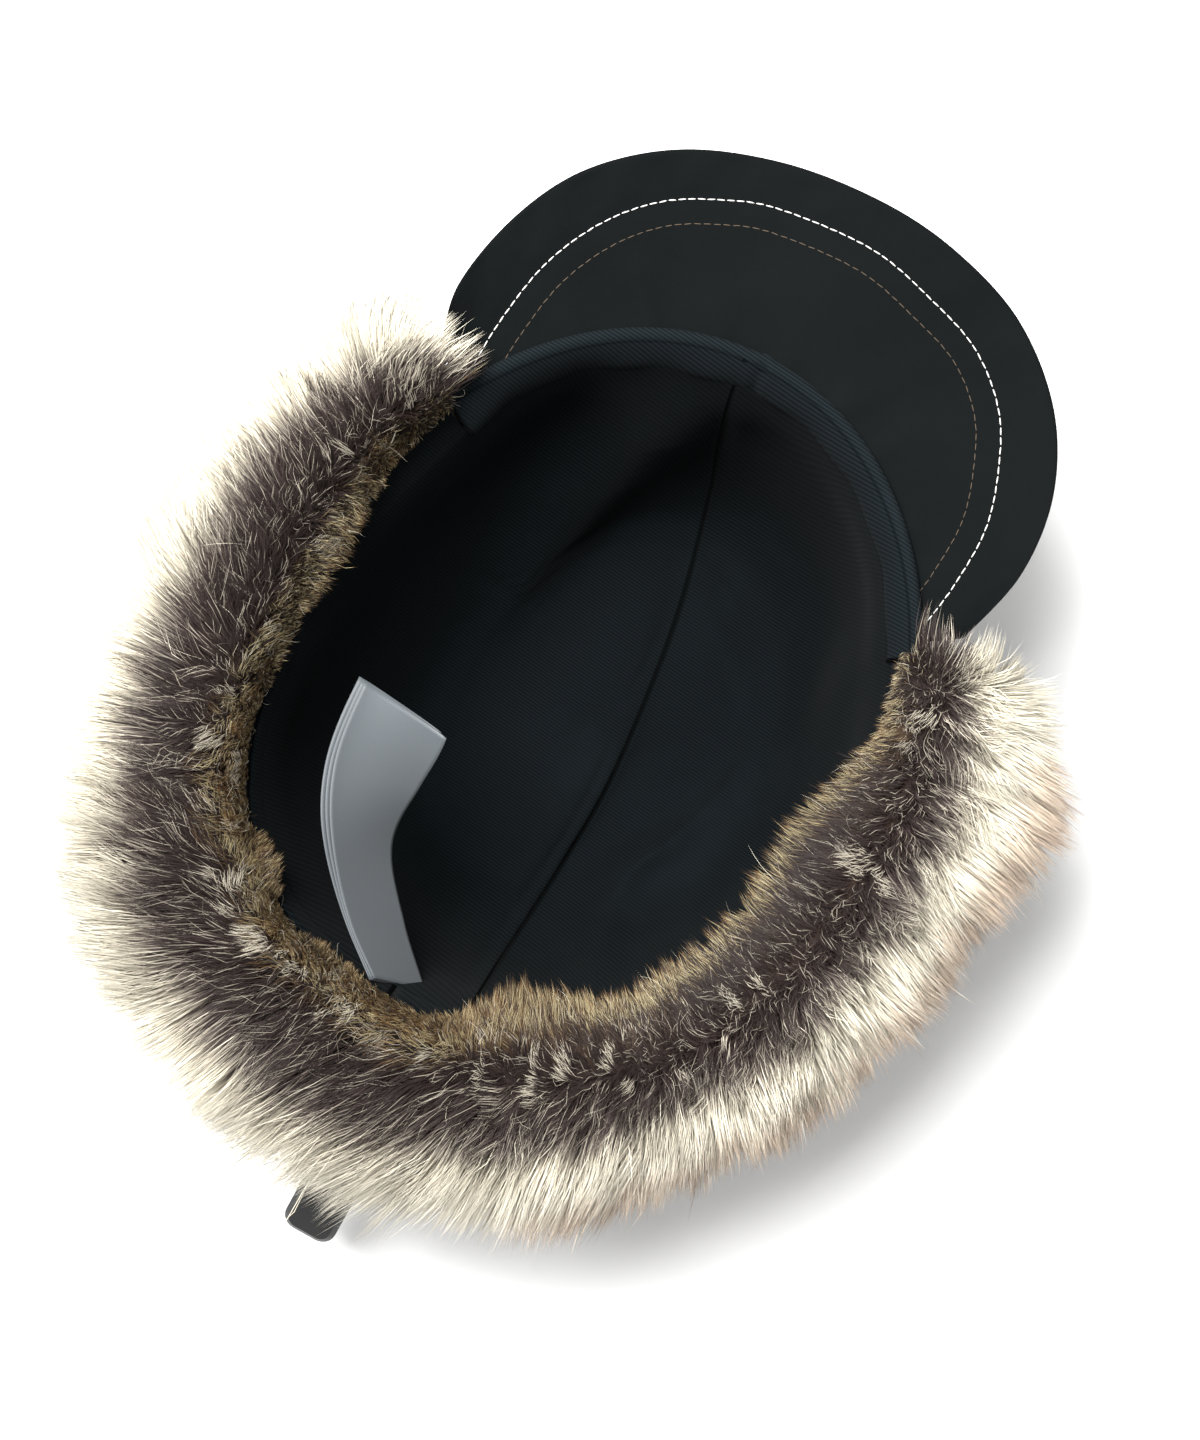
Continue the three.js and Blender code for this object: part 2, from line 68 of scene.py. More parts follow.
def linear(code: str) -> tuple[float, float, float, float]:
    """Turns an sRGB hex colour into Blender's linear one.

    Args:
        code: the colour as #rrggbb.

    Returns:
        Red, green, blue and an alpha of 1.
    """
    values = [int(code[k : k + 2], 16) / 255 for k in (1, 3, 5)]
    turned = [v / 12.92 if v <= 0.04045 else ((v + 0.055) / 1.055) ** 2.4 for v in values]
    return (*turned, 1.0)


def set_inputs(tree: bpy.types.NodeTree, node: bpy.types.Node, links: dict[str | int, Any]) -> None:
    """Links each input that is given a socket, and sets the others."""
    for name, value in links.items():
        if isinstance(value, bpy.types.NodeSocket):
            tree.links.new(value, node.inputs[name])
        else:
            node.inputs[name].default_value = value


def add_node(
    tree: bpy.types.NodeTree,
    kind: str,
    settings: dict[str, Any] | None = None,
    links: dict[str | int, Any] | None = None,
) -> bpy.types.Node:
    """Adds one node with its settings, and sets or links its inputs.

    Args:
        tree: the material's node tree.
        kind: the node's type name.
        settings: values of the node's own properties.
        links: for each input, by name or number, a socket to link or a value to set.

    Returns:
        The new node.
    """
    node = tree.nodes.new(kind)
    for name, value in (settings or {}).items():
        setattr(node, name, value)
    set_inputs(tree, node, links or {})
    return node


def smoothstep(value: Array, low: float, high: float) -> Array:
    """Eases from 0 at low to 1 at high."""
    share = np.clip((value - low) / (high - low), 0, 1)
    return share * share * (3 - 2 * share)


def unit(ways: Array) -> Array:
    """Vectors scaled to a length of one."""
    return ways / np.maximum(np.linalg.norm(ways, axis=-1, keepdims=True), 1e-9)


def spline(rows: Sequence[Sequence[float]], share: Array, carried_on: bool = True) -> Array:
    """Reads a smooth curve through a table's rows.

    Args:
        rows: the points that the curve passes through.
        share: where to read it, from 0 at the first row to 1 at the last.
        carried_on: whether the ends run straight on, or stop at the end points.

    Returns:
        One point for each share.
    """
    points = np.asarray(rows, float)
    count = len(points)
    first = 2 * points[0] - points[1] if carried_on else points[0]
    last = 2 * points[-1] - points[-2] if carried_on else points[-1]
    held = np.vstack([first, points, last])
    place = np.clip(np.asarray(share, float), 0, 1) * (count - 1)
    low = np.minimum(place.astype(int), count - 2)
    w = (place - low)[..., None]
    before, start, end, after = held[low], held[low + 1], held[low + 2], held[low + 3]
    leave, arrive = (end - before) / 2, (after - start) / 2
    cubic = (2 * start - 2 * end + leave + arrive) * w**3
    square = (-3 * start + 3 * end - 2 * leave - arrive) * w**2
    return cubic + square + leave * w + start


def bump(distance: Array, spread: float) -> Array:
    """A round-topped hill: 1 in the middle, falling off over the spread."""
    return np.exp(-((distance / spread) ** 2))


@dataclass(frozen=True)
class CapForm:
    """The cap's form in millimetres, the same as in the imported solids."""

    rim_height: float = 126.0
    rim_pitch: float = 0.025  # how much higher the rim is in front, as a share of its height
    back_squareness: float = 2.35
    back_shift: float = -8.0
    # Height, half width, half length and sideways shift of the crown, from the patch that it rests on.
    sections: tuple = (
        (0, 36, 48, 7),
        (5, 48, 61, 6.5),
        (15, 59, 73, 6),
        (34, 69, 85, 5),
        (62, 77, 94, 3),
        (96, 83, 100, 1),
        (126, 88, 106, 0),
    )
    # Angle, level, spread of each, and depth of the soft dents in crown and lining.
    dents: tuple = (
        (-12, 0.7, 15, 0.2, 5),
        (-30, 0.47, 18, 0.17, 4),
        (-44, 0.74, 15, 0.2, -4),
        (-68, 0.86, 20, 0.22, 5),
        (130, 0.6, 15, 0.24, 4.5),
        (62, 0.7, 14, 0.22, 2.5),
        (-118, 0.6, 18, 0.3, -3),
    )
    # The seam between the two panels in plan, from the peak to the back.
    panel_seam: tuple = (
        (-9, 130),
        (-6, 95),
        (2, 73),
        (12, 33),
        (18, -15),
        (18, -47),
        (15, -85),
        (10, -130),
    )
    flap_front: float = 59.0  # degrees round the rim where the flap starts
    flap_sweep: float = 10.0  # degrees that its front edge runs back on its way down
    flap_back: float = 179.93  # degrees where the two flaps meet
    # How far out from the rim, and how far up from it, the middle of the flap lies.
    flap_section: tuple = (
        (-0.4, 1),
        (4, 5.4),
        (9, 5.6),
        (13.5, 1),
        (17.5, -12),
        (21, -34),
        (25, -56),
        (28, -76),
    )
    # Along the flap, and how much of its full depth it has there.
    flap_depths: tuple = ((0, 0.6), (0.2, 0.96), (0.45, 1), (0.8, 0.9), (1, 0.88))
    flap_end: tuple[float, float] = (4.0, -100.0)  # how the section runs on past the free edge

    def ring(self, turn: Array, half_width: Array, half_length: Array) -> tuple[Array, Array]:
        """The plan position on a ring: an ellipse in front, squarer and shifted at the back."""
        sine, cosine = np.sin(turn), np.cos(turn)
        back = np.maximum(0, -cosine)
        power = 2 / (2 + (self.back_squareness - 2) * np.minimum(1, 2 * back))
        x = np.sign(sine) * np.abs(sine) ** power * half_width + self.back_shift * back**2
        return x, np.sign(cosine) * np.abs(cosine) ** power * half_length

    def dent(self, turn: Array, level: Array) -> Array:
        """How deep the soft dents are, inwards where it is positive."""
        angle = turn / DEG
        total = np.zeros(np.broadcast(turn, level).shape)
        for at, height, around, up, depth in self.dents:
            away = (np.mod(angle - at + 180, 360) - 180) / around
            total = total + depth * np.exp(-(away**2) - ((level - height) / up) ** 2)
        return total * smoothstep(level, 0.05, 0.3) * (1 - smoothstep(level, 0.93, 1))

    def crown(self, turn: Array, level: Array) -> Array:
        """Points on the outside of the crown."""
        turn, level = np.broadcast_arrays(np.asarray(turn, float), np.asarray(level, float))
        rows = np.asarray(self.sections, float)
        height, half_width, half_length, shift = np.moveaxis(spline(rows, level), -1, 0)
        dent = self.dent(turn, level)
        x, y = self.ring(turn, half_width - dent, half_length - dent)
        return np.stack([x + shift, y, height * (1 + self.rim_pitch * np.cos(turn))], -1)

    def crown_normal(self, turn: Array, level: Array) -> Array:
        """Directions out of the crown, straight down under the patch that it rests on."""
        turn, level = np.broadcast_arrays(np.asarray(turn, float), np.asarray(level, float))
        step = 0.01
        along = self.crown(turn + step, level) - self.crown(turn - step, level)
        above, below = np.minimum(1, level + step), np.maximum(0, level - step)
        rise = self.crown(turn, above) - self.crown(turn, below)
        out = -unit(np.cross(along, rise))
        flat = (1 - smoothstep(level, 0, 0.06))[..., None]
        return unit(out * (1 - flat) + np.array([0, 0, -1.0]) * flat)

    def inset(self, turn: Array, level: Array, depth: Array | float) -> Array:
        """Points on the crown's surface moved inwards. Levels below 0 close the flat patch."""
        level = np.asarray(level, float)
        wall = np.maximum(level, 0)
        points = self.crown(turn, wall)
        depth = np.asarray(depth, float)
        points = points - self.crown_normal(turn, wall) * depth[..., None]
        middle = np.zeros(points.shape)
        middle[..., 0] = self.sections[0][3]
        middle[..., 2] = points[..., 2]
        share = np.clip(1 + level, 0, 1)[..., None]
        return np.where(level[..., None] < 0, middle + (points - middle) * share, points)

    def seam_x(self, y: Array) -> Array:
        """Where the seam between the two panels runs, for each distance to the front."""
        line = spline(self.panel_seam, np.linspace(0, 1, 200), False)
        return np.interp(-y, -line[:, 1], line[:, 0])

    def flap_turn(self, side: Side, around: Array, down: Array) -> Array:
        """The angle round the rim of a place on the flap."""
        front = self.flap_front + self.flap_sweep * down
        return side.value * (front + (self.flap_back - front) * around) * DEG

    def flap(self, side: Side, around: Array, down: Array, offset: Array | float = 0.0) -> Array:
        """Points on the ear flap, moved off its middle towards the fur by an offset."""
        around, down = np.broadcast_arrays(np.asarray(around, float), np.asarray(down, float))
        points = self._flap_middle(side, around, down)
        if np.any(offset):
            points = points + self.flap_normal(side, around, down) * np.asarray(offset)[..., None]
        return points

    def _flap_middle(self, side: Side, around: Array, down: Array) -> Array:
        """Points on the middle of the ear flap."""
        turn = self.flap_turn(side, around, down)
        rim = self.crown(turn, 1.0)
        out = self.crown_normal(turn, 1.0) * np.array([1, 1, 0])
        section = spline(self.flap_section, down)
        past = (down - np.clip(down, 0, 1))[..., None] * np.array(self.flap_end)
        section = section + np.where(past[..., 1:] < 0, past, 0)
        shares, depths = zip(*self.flap_depths)
        place = np.interp(around, shares, np.arange(len(shares)))
        low = np.minimum(place.astype(int), len(shares) - 2)
        ease = smoothstep(place - low, 0, 1)
        depth = np.take(depths, low) * (1 - ease) + np.take(depths, low + 1) * ease
        up = section[..., 1] * np.where(section[..., 1] < 0, depth, 1)
        return rim + unit(out) * section[..., :1] + np.stack([0 * up, 0 * up, up], -1)

    def flap_normal(self, side: Side, around: Array, down: Array) -> Array:
        """Directions off the flap on its fur side."""
        step = 0.01
        ahead, behind = np.minimum(1, around + step), np.maximum(0, around - step)
        along = self._flap_middle(side, ahead, down) - self._flap_middle(side, behind, down)
        lower, upper = np.minimum(1, down + step), np.maximum(0, down - step)
        fall = self._flap_middle(side, around, lower) - self._flap_middle(side, around, upper)
        return unit(np.cross(along, fall)) * side.value


FORM = CapForm()


def lengths_along(points: Array) -> Array:
    """How far along a line each of its points lies."""
    return np.concatenate([[0], np.cumsum(np.linalg.norm(np.diff(points, axis=0), axis=1))])


def search_tree(points: Array) -> kdtree.KDTree:
    """A tree that finds the nearest of some points."""
    tree = kdtree.KDTree(len(points))
    for number, point in enumerate(points):
        tree.insert(point, number)
    tree.balance()
    return tree


def vectors(items: Any, name: str) -> Array:
    """Reads one vector of each item of a mesh."""
    flat = np.empty(len(items) * 3)
    items.foreach_get(name, flat)
    return flat.reshape(-1, 3)


def work_on(mesh: bpy.types.Mesh, *steps: Callable[[bmesh.types.BMesh], Any]) -> None:
    """Runs bmesh operators on a mesh, one after the other."""
    work = bmesh.new()
    work.from_mesh(mesh)
    for step in steps:
        step(work)
    work.to_mesh(mesh)
    work.free()


def merge_points(work: bmesh.types.BMesh) -> None:
    """Merges points that lie on each other."""
    bmesh.ops.remove_doubles(work, verts=work.verts, dist=MERGED * MM)


def set_marks(mesh: bpy.types.Mesh, marks: dict[str, Array]) -> None:
    """Keeps numbers on a mesh's points for its material, by name."""
    for name, values in marks.items():
        attribute = mesh.attributes.new(name, "FLOAT", "POINT")
        attribute.data.foreach_set("value", values.astype(np.float32))


def new_piece(name: str, mesh: bpy.types.Mesh) -> bpy.types.Object:
    """Puts a mesh into the scene, smoothly shaded."""
    mesh.shade_smooth()
    piece = bpy.data.objects.new(name, mesh)
    bpy.context.collection.objects.link(piece)
    return piece


def grid_piece(
    name: str,
    steps: tuple[int, int],
    place: Callable[[Array, Array], Array],
    round_about: bool = False,
    thickness: float = 0.0,
    cloth_map: Callable[[Array, Array], Array] | None = None,
    marks: dict[str, Callable[[Array, Array], Array]] | None = None,
    turned: bool = False,
) -> bpy.types.Object:
    """Makes a piece from a grid that is laid on a surface of the cap.

    Args:
        name: the piece's name.
        steps: how many faces the grid has across u and v.
        place: gives points in millimetres for arrays of u and v, from 0 to 1.
        round_about: whether u closes on itself, so that its two edges are merged.
        thickness: how thick the wall gets, away from the side that the faces point to.
        cloth_map: gives the cloth's own coordinates in millimetres, kept as the UV map.
        marks: numbers kept on the points for the material, by name.
        turned: whether the faces look to the other side of the grid.

    Returns:
        The piece.
    """
    mesh = bpy.data.meshes.new(name)
    grid = {"x_segments": steps[0], "y_segments": steps[1], "size": 0.5}
    work_on(mesh, lambda work: bmesh.ops.create_grid(work, **grid))
    u, v = (vectors(mesh.vertices, "co")[:, :2] + 0.5).T
    if cloth_map is not None:
        corners = np.empty(len(mesh.loops), dtype=np.int32)
        mesh.loops.foreach_get("vertex_index", corners)
        layer = mesh.uv_layers.new(name="cloth")
        layer.uv.foreach_set("vector", (cloth_map(u, v)[corners] * MM).ravel())
    set_marks(mesh, {mark: value(u, v) for mark, value in (marks or {}).items()})
    mesh.vertices.foreach_set("co", (place(u, v) * MM).ravel())
    mesh.update()
    if round_about:
        work_on(mesh, merge_points)
    if turned:
        work_on(mesh, lambda work: bmesh.ops.reverse_faces(work, faces=work.faces))
    piece = new_piece(name, mesh)
    if thickness:
        wall = piece.modifiers.new("wall", "SOLIDIFY")
        wall.thickness = thickness * MM
        wall.offset = -1
        wall.use_even_offset = False
    return piece


def repeated_shape(name: str, points: Array, faces: Sequence[Sequence[int]]) -> bpy.types.Object:
    """Joins many copies of one small closed shape into a piece.

    Args:
        name: the piece's name.
        points: the points of each copy, in millimetres.
        faces: the faces of one copy, by the numbers of its points.

    Returns:
        The piece.
    """
    count, per_copy = points.shape[:2]
    corners = np.concatenate(faces)
    starts = np.cumsum([0] + [len(face) for face in faces[:-1]])
    copies = np.arange(count)[:, None]
    mesh = bpy.data.meshes.new(name)
    mesh.vertices.add(count * per_copy)
    mesh.vertices.foreach_set("co", (points * MM).ravel())
    mesh.loops.add(len(corners) * count)
    mesh.loops.foreach_set("vertex_index", (corners + copies * per_copy).ravel())
    mesh.polygons.add(len(faces) * count)
    mesh.polygons.foreach_set("loop_start", (starts + copies * len(corners)).ravel())
    mesh.update(calc_edges=True)
    return new_piece(name, mesh)


@dataclass(frozen=True)
class Stitch:
    """How one row is sewn, in millimetres."""

    length: float  # of a stitch that shows
    pitch: float  # from one stitch to the next
    width: float  # of the thread
    sunk: float = 0.02  # how deep the thread's middle lies under the cloth's surface
    sway: float = 0.06  # how much the stitches turn to either side of the line, in radians
    blunt: float = 0.7  # the power that rounds a stitch's ends

    def sew(self, name: str, line: Array, normals: Array) -> bpy.types.Object:
        """Sews a row of stitches along a line.

        Args:
            name: the piece's name.
            line: the line on the cloth.
            normals: the direction off the cloth at each of the line's points.

        Returns:
            The row of stitches as one piece.
        """
        total = lengths_along(line)
        at = np.arange(self.pitch / 2, total[-1], self.pitch)
        places, ahead, behind = (
            np.stack([np.interp(at + step, total, line[:, k]) for k in range(3)], -1)
            for step in (0, 0.4, -0.4)
        )
        along = unit(ahead - behind)
        tree = search_tree(line)
        up = np.array([normals[tree.find(place)[1]] for place in places])
        up = unit(up - along * np.sum(up * along, axis=1, keepdims=True))
        across = np.cross(up, along)
        turn = self.sway * np.sin(np.arange(len(places)) * 2.4)[:, None]
        along, across = unit(along + across * turn), unit(across - along * turn)
        shape = bmesh.new()
        bmesh.ops.create_uvsphere(shape, u_segments=6, v_segments=6, radius=1)
        bmesh.ops.rotate(shape, verts=shape.verts, matrix=Matrix.Rotation(math.pi / 2, 3, "Y"))
        shape.verts.index_update()
        ball = np.array([vertex.co for vertex in shape.verts])
        ball[:, 0] = np.sign(ball[:, 0]) * np.abs(ball[:, 0]) ** self.blunt
        faces = [[vertex.index for vertex in face.verts] for face in shape.faces]
        shape.free()
        # Blender lists the faces in another order each time, so they are sorted from their lowest points.
        faces = sorted(face[face.index(min(face)) :] + face[: face.index(min(face))] for face in faces)
        half = np.stack([along * self.length, across * self.width, up * self.width], 1) / 2
        points = (places - up * self.sunk)[:, None] + np.einsum("ka,nad->nkd", ball, half)
        return repeated_shape(name, points, faces)


def finish_piece(
    piece: bpy.types.Object,
    material: bpy.types.Material,
    stands_for: Sequence[str] = (),
) -> None:
    """Dresses a piece, and ties it to the frame.

    Args:
        piece: the piece.
        material: its finish.
        stands_for: the names of the solids that it replaces.
    """
    piece.data.materials.clear()
    piece.data.materials.append(material)
    if stands_for:
        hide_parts(*stands_for)
    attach(piece, "root")
    LOG.info("%s: %d faces", piece.name, len(piece.data.polygons))


class Nodes:
    """A new material, with a short call for each kind of node that the finishes share."""

    def __init__(self, name: str) -> None:
        self.material = bpy.data.materials.new(name)
        self.material.use_nodes = True
        self.tree = self.material.node_tree

    def plan(self) -> bpy.types.NodeSocket:
        """The piece's own coordinates."""
        return add_node(self.tree, "ShaderNodeTexCoord").outputs["Object"]

    def mark(self, name: str) -> bpy.types.NodeSocket:
        """A number that is kept on the mesh."""
        return add_node(self.tree, "ShaderNodeAttribute", {"attribute_name": name}).outputs["Fac"]

    def placed(self, vector: Any, moved: dict[str, tuple[float, float, float]]) -> bpy.types.NodeSocket:
        """Coordinates that are turned or stretched."""
        return add_node(self.tree, "ShaderNodeMapping", None, {"Vector": vector, **moved}).outputs[0]

    def noise(self, vector: Any, scale: float, detail: float, roughness: float = 0.5) -> bpy.types.NodeSocket:
        """Soft noise with so many lumps to a metre."""
        settings = {"Vector": vector, "Scale": scale, "Detail": detail, "Roughness": roughness}
        return add_node(self.tree, "ShaderNodeTexNoise", {"noise_dimensions": "3D"}, settings).outputs["Fac"]

    def ribs(
        self, vector: Any, pitch: float, direction: str, distortion: float, detail: float, spread: float = 1.0
    ) -> bpy.types.NodeSocket:
        """Even ribs at a pitch in millimetres, with a distortion of a given detail and spread."""
        settings = {
            "Vector": vector,
            "Scale": WAVE_WIDTH / (pitch * MM),
            "Distortion": distortion,
            "Detail": detail,
            "Detail Scale": spread,
        }
        kind = {"wave_type": "BANDS", "bands_direction": direction, "wave_profile": "SIN"}
        return add_node(self.tree, "ShaderNodeTexWave", kind, settings).outputs["Fac"]

    def reckoned(self, operation: str, *values: Any) -> bpy.types.NodeSocket:
        """Reckons with numbers or sockets."""
        links = dict(enumerate(values))
        return add_node(self.tree, "ShaderNodeMath", {"operation": operation}, links).outputs[0]

    def eased(self, value: Any, low: float, high: float, top: float = 1.0) -> bpy.types.NodeSocket:
        """Eases from 0 at low to the top at high."""
        links = {"Value": value, "From Min": low, "From Max": high, "To Max": top}
        kind = {"interpolation_type": "SMOOTHSTEP"}
        return add_node(self.tree, "ShaderNodeMapRange", kind, links).outputs[0]

    def seam(self, width: float) -> bpy.types.NodeSocket:
        """The groove along a seam: 0 at its bottom, 1 from the given distance in millimetres on."""
        return self.eased(self.reckoned("ABSOLUTE", self.mark("seam")), 0.1, width)

    def mix(self, share: Any, first: Any, second: Any) -> bpy.types.NodeSocket:
        """Mixes two colours, each a hex code or a socket."""
        ends = [linear(end) if isinstance(end, str) else end for end in (first, second)]
        links = {0: share, 6: ends[0], 7: ends[1]}
        return add_node(self.tree, "ShaderNodeMix", {"data_type": "RGBA"}, links).outputs[2]

    def relief(
        self, height: Any, depth: float, strength: float, under: bpy.types.NodeSocket | None = None
    ) -> bpy.types.NodeSocket:
        """A relief of a depth in millimetres, on top of one that is there already."""
        links = {"Strength": strength, "Distance": depth * MM, "Height": height}
        if under is not None:
            links["Normal"] = under
        return add_node(self.tree, "ShaderNodeBump", None, links).outputs[0]

    def finish(
        self,
        colour: bpy.types.NodeSocket,
        relief: bpy.types.NodeSocket | None,
        roughness: float,
        specular: float,
        sheen: tuple[float, float] = (0.0, 0.5),
    ) -> bpy.types.Material:
        """Links the shader, and gives the material. The sheen is its weight and its roughness."""
        links = {
            "Base Color": colour,
            "Roughness": roughness,
            "Specular IOR Level": specular,
            "Sheen Weight": sheen[0],
            "Sheen Roughness": sheen[1],
        }
        if relief is not None:
            links["Normal"] = relief
        set_inputs(self.tree, self.tree.nodes["Principled BSDF"], links)
        return self.material


@dataclass(frozen=True)
class CottonTwill:
    """Navy cotton twill: fine diagonal ribs with dark furrows, matt, a little paler where it is rubbed."""

    name: str = "navy_cotton_twill"
    rib: str = "#111618"
    furrow: str = "#080b0d"
    rubbed: str = "#13181a"
    # Painted shade: the colour deep in a seam's groove.
    seam_shade: str = "#050708"
    pitch: float = 0.98  # mm from rib to rib; the real one is nearer 0.7 and would not show
    rib_depth: float = 0.1  # mm
    seam_depth: float = 0.9  # mm
    seam_width: float = 1.2  # mm
    slant: float = 1.66  # radians from the cap's length
    lint: float = 1100.0  # fibres to a metre
    patches: float = 26.0  # rubbed patches to a metre

    def build(self) -> bpy.types.Material:
        """The twill as a material. The straight grain of both panels keeps its ribs level all over."""
        nodes = Nodes(self.name)
        plan = nodes.plan()
        turned = nodes.placed(plan, {"Rotation": (0, 0, self.slant)})
        rib = nodes.ribs(turned, self.pitch, "X", 1.2, 2.0, 0.25)
        paler_twill = nodes.eased(nodes.noise(plan, self.patches, 4.0), 0.5, 0.8, 0.5)
        colour = nodes.mix(paler_twill, nodes.mix(rib, self.furrow, self.rib), self.rubbed)
        groove = nodes.seam(self.seam_width)
        fuzz = nodes.reckoned("MULTIPLY_ADD", nodes.noise(plan, self.lint, 2.0), 0.5, rib)
        relief = nodes.relief(fuzz, self.rib_depth, 0.8)
        relief = nodes.relief(groove, self.seam_depth, 1.0, relief)
        # Deep in the seam's groove the colour turns to painted shade, on top of the groove's relief.
        return nodes.finish(nodes.mix(groove, self.seam_shade, colour), relief, 0.92, 0.035, (0.01, 0.5))


@dataclass(frozen=True)
class ShellCotton:
    """Black dense cotton: a very fine plain weave, soft mottling, and a faint bloom in the light."""

    name: str = "black_dense_cotton"
    body: str = "#0a0c0d"
    bloom: str = "#101313"
    thread: float = 0.55  # mm from thread to thread; the real 0.25 would not show
    thread_depth: float = 0.08  # mm
    crumple_depth: float = 1.2  # mm
    seam_depth: float = 0.8  # mm
    seam_width: float = 1.0  # mm
    mottles: float = 34.0  # to a metre
    crumples: float = 90.0  # to a metre

    def build(self) -> bpy.types.Material:
        """The cotton as a material on the cloth's own map."""
        nodes = Nodes(self.name)
        plan = nodes.plan()
        cloth = add_node(nodes.tree, "ShaderNodeUVMap", {"uv_map": "cloth"}).outputs[0]
        weave = nodes.reckoned("ADD", *(nodes.ribs(cloth, self.thread, way, 0.6, 1.0) for way in ("X", "Y")))
        colour = nodes.mix(nodes.noise(plan, self.mottles, 5.0, 0.6), self.body, self.bloom)
        relief = nodes.relief(weave, self.thread_depth, 0.5)
        relief = nodes.relief(nodes.noise(plan, self.crumples, 3.0), self.crumple_depth, 0.35, relief)
        relief = nodes.relief(nodes.seam(self.seam_width), self.seam_depth, 1.0, relief)
        return nodes.finish(colour, relief, 0.8, 0.045, (0.008, 0.4))


@dataclass(frozen=True)
class AcrylicFur:
    """Long acrylic pile, dyed in stripes along the flap: cream, dark purple-brown, white, and pinkish tips
    that are partly painted shade.
    """

    name: str = "banded_acrylic_fur"
    tanned: str = "#6b5233"
    tan_share: float = 0.6  # of the tan colour in the tannest hair
    tones: tuple[float, float] = (0.58, 1.26)  # how dark and how light hairs of one colour get
    # Place on the colour scale, and colour, for the long hair and for the short hair at the mouth.
    long_hair: tuple = (
        # This first stop's dark brown at the hair's inner edge is painted shade where the edge overhangs the
        # lining; the tan after it is the hair's own.
        (0.0, "#3a2a1a"),
        (0.05, "#6f5332"),
        (0.11, "#a89d7b"),
        (0.22, "#8f866a"),
        (0.26, "#4a3c2d"),
        (0.3, "#2b2321"),
        (0.55, "#352c2a"),
        (0.61, "#584e49"),
        (0.68, "#aaa292"),
        (0.74, "#e2dac6"),
        (0.82, "#f2ecdb"),
        # The last stops are the pinkish tips, partly painted shade.
        (0.88, "#e9dcc8"),
        (0.93, "#d6c4b0"),
        (1.0, "#b5a292"),
    )
    short_hair: tuple = (
        (0.0, "#231c1a"),
        (0.42, "#332b29"),
        (0.54, "#5a4b38"),
        (0.66, "#8a7e60"),
        (0.78, "#aca17e"),
        (0.87, "#80633e"),
        # These last two stops darken the short hair's tips at the mouth's edge: painted shade where the edge
        # overhangs the lining.
        (0.94, "#463220"),
        (1.0, "#291d14"),
    )

    def build(self) -> bpy.types.Material:
        """The fur as a material. It reads each point's place on the colour scale."""
        nodes = Nodes(self.name)
        dye, tan, short, tone = (nodes.mark(name) for name in ("dye", "tan", "short", "tone"))
        colours = []
        for stops in (self.long_hair, self.short_hair):
            ramp = add_node(nodes.tree, "ShaderNodeValToRGB", None, {0: dye})
            while len(ramp.color_ramp.elements) < len(stops):
                ramp.color_ramp.elements.new(0.5)
            for element, (place, code) in zip(ramp.color_ramp.elements, stops):
                element.position = place
                element.color = linear(code)
            colours.append(ramp.outputs[0])
        tanned = nodes.reckoned("MULTIPLY", tan, self.tan_share)
        dyed = nodes.mix(tanned, nodes.mix(short, *colours), self.tanned)
        limits = {"Value": tone, "To Min": self.tones[0], "To Max": self.tones[1]}
        value = add_node(nodes.tree, "ShaderNodeMapRange", None, limits).outputs[0]
        varied = add_node(nodes.tree, "ShaderNodeHueSaturation", None, {"Value": value, "Color": dyed})
        return nodes.finish(varied.outputs[0], None, 0.55, 0.14)


@dataclass(frozen=True)
class PileGround:
    """Short dense pile under the long hair: dark brown as painted shade, browner along the mouth's edge."""

    name: str = "acrylic_pile_ground"
    edge: str = "#4a3523"
    # Painted shade: the dark brown of the pile's depths between the hairs.
    deep: str = "#2b2422"
    tuft: float = 1.1  # mm
    tuft_depth: float = 0.9  # mm
    edge_ends: tuple[float, float] = (0.08, 0.26)  # shares of the flap's depth where the edge's colour fades

    def build(self) -> bpy.types.Material:
        """The pile ground as a material. It reads how far down the flap each point lies."""
        nodes = Nodes(self.name)
        tufts = nodes.noise(nodes.plan(), 1 / (self.tuft * MM), 4.0, 0.7)
        down = nodes.reckoned("MULTIPLY_ADD", tufts, 0.1, nodes.mark("down"))
        colour = nodes.mix(nodes.eased(down, *self.edge_ends), self.edge, self.deep)
        return nodes.finish(colour, nodes.relief(tufts, self.tuft_depth, 1.0), 0.95, 0.1)


@dataclass(frozen=True)
class PlainFinish:
    """A simple finish with a fine grain: thread, webbing, satin ribbon, moulded plastic and floor paper."""

    name: str
    body: str
    other: str
    grain: float  # mm
    relief: float  # mm
    roughness: float
    specular: float = 0.5
    sheen: float = 0.0
    stretch: tuple[float, float, float] = (1.0, 1.0, 1.0)

    def build(self) -> bpy.types.Material:
        """The finish as a material on the piece's own coordinates."""
        nodes = Nodes(self.name)
        grain = nodes.noise(nodes.placed(nodes.plan(), {"Scale": self.stretch}), 1 / (self.grain * MM), 3.0)
        colour = nodes.mix(grain, self.body, self.other)
        relief = nodes.relief(grain, self.relief, 0.6)
        return nodes.finish(colour, relief, self.roughness, self.specular, (self.sheen, 0.5))


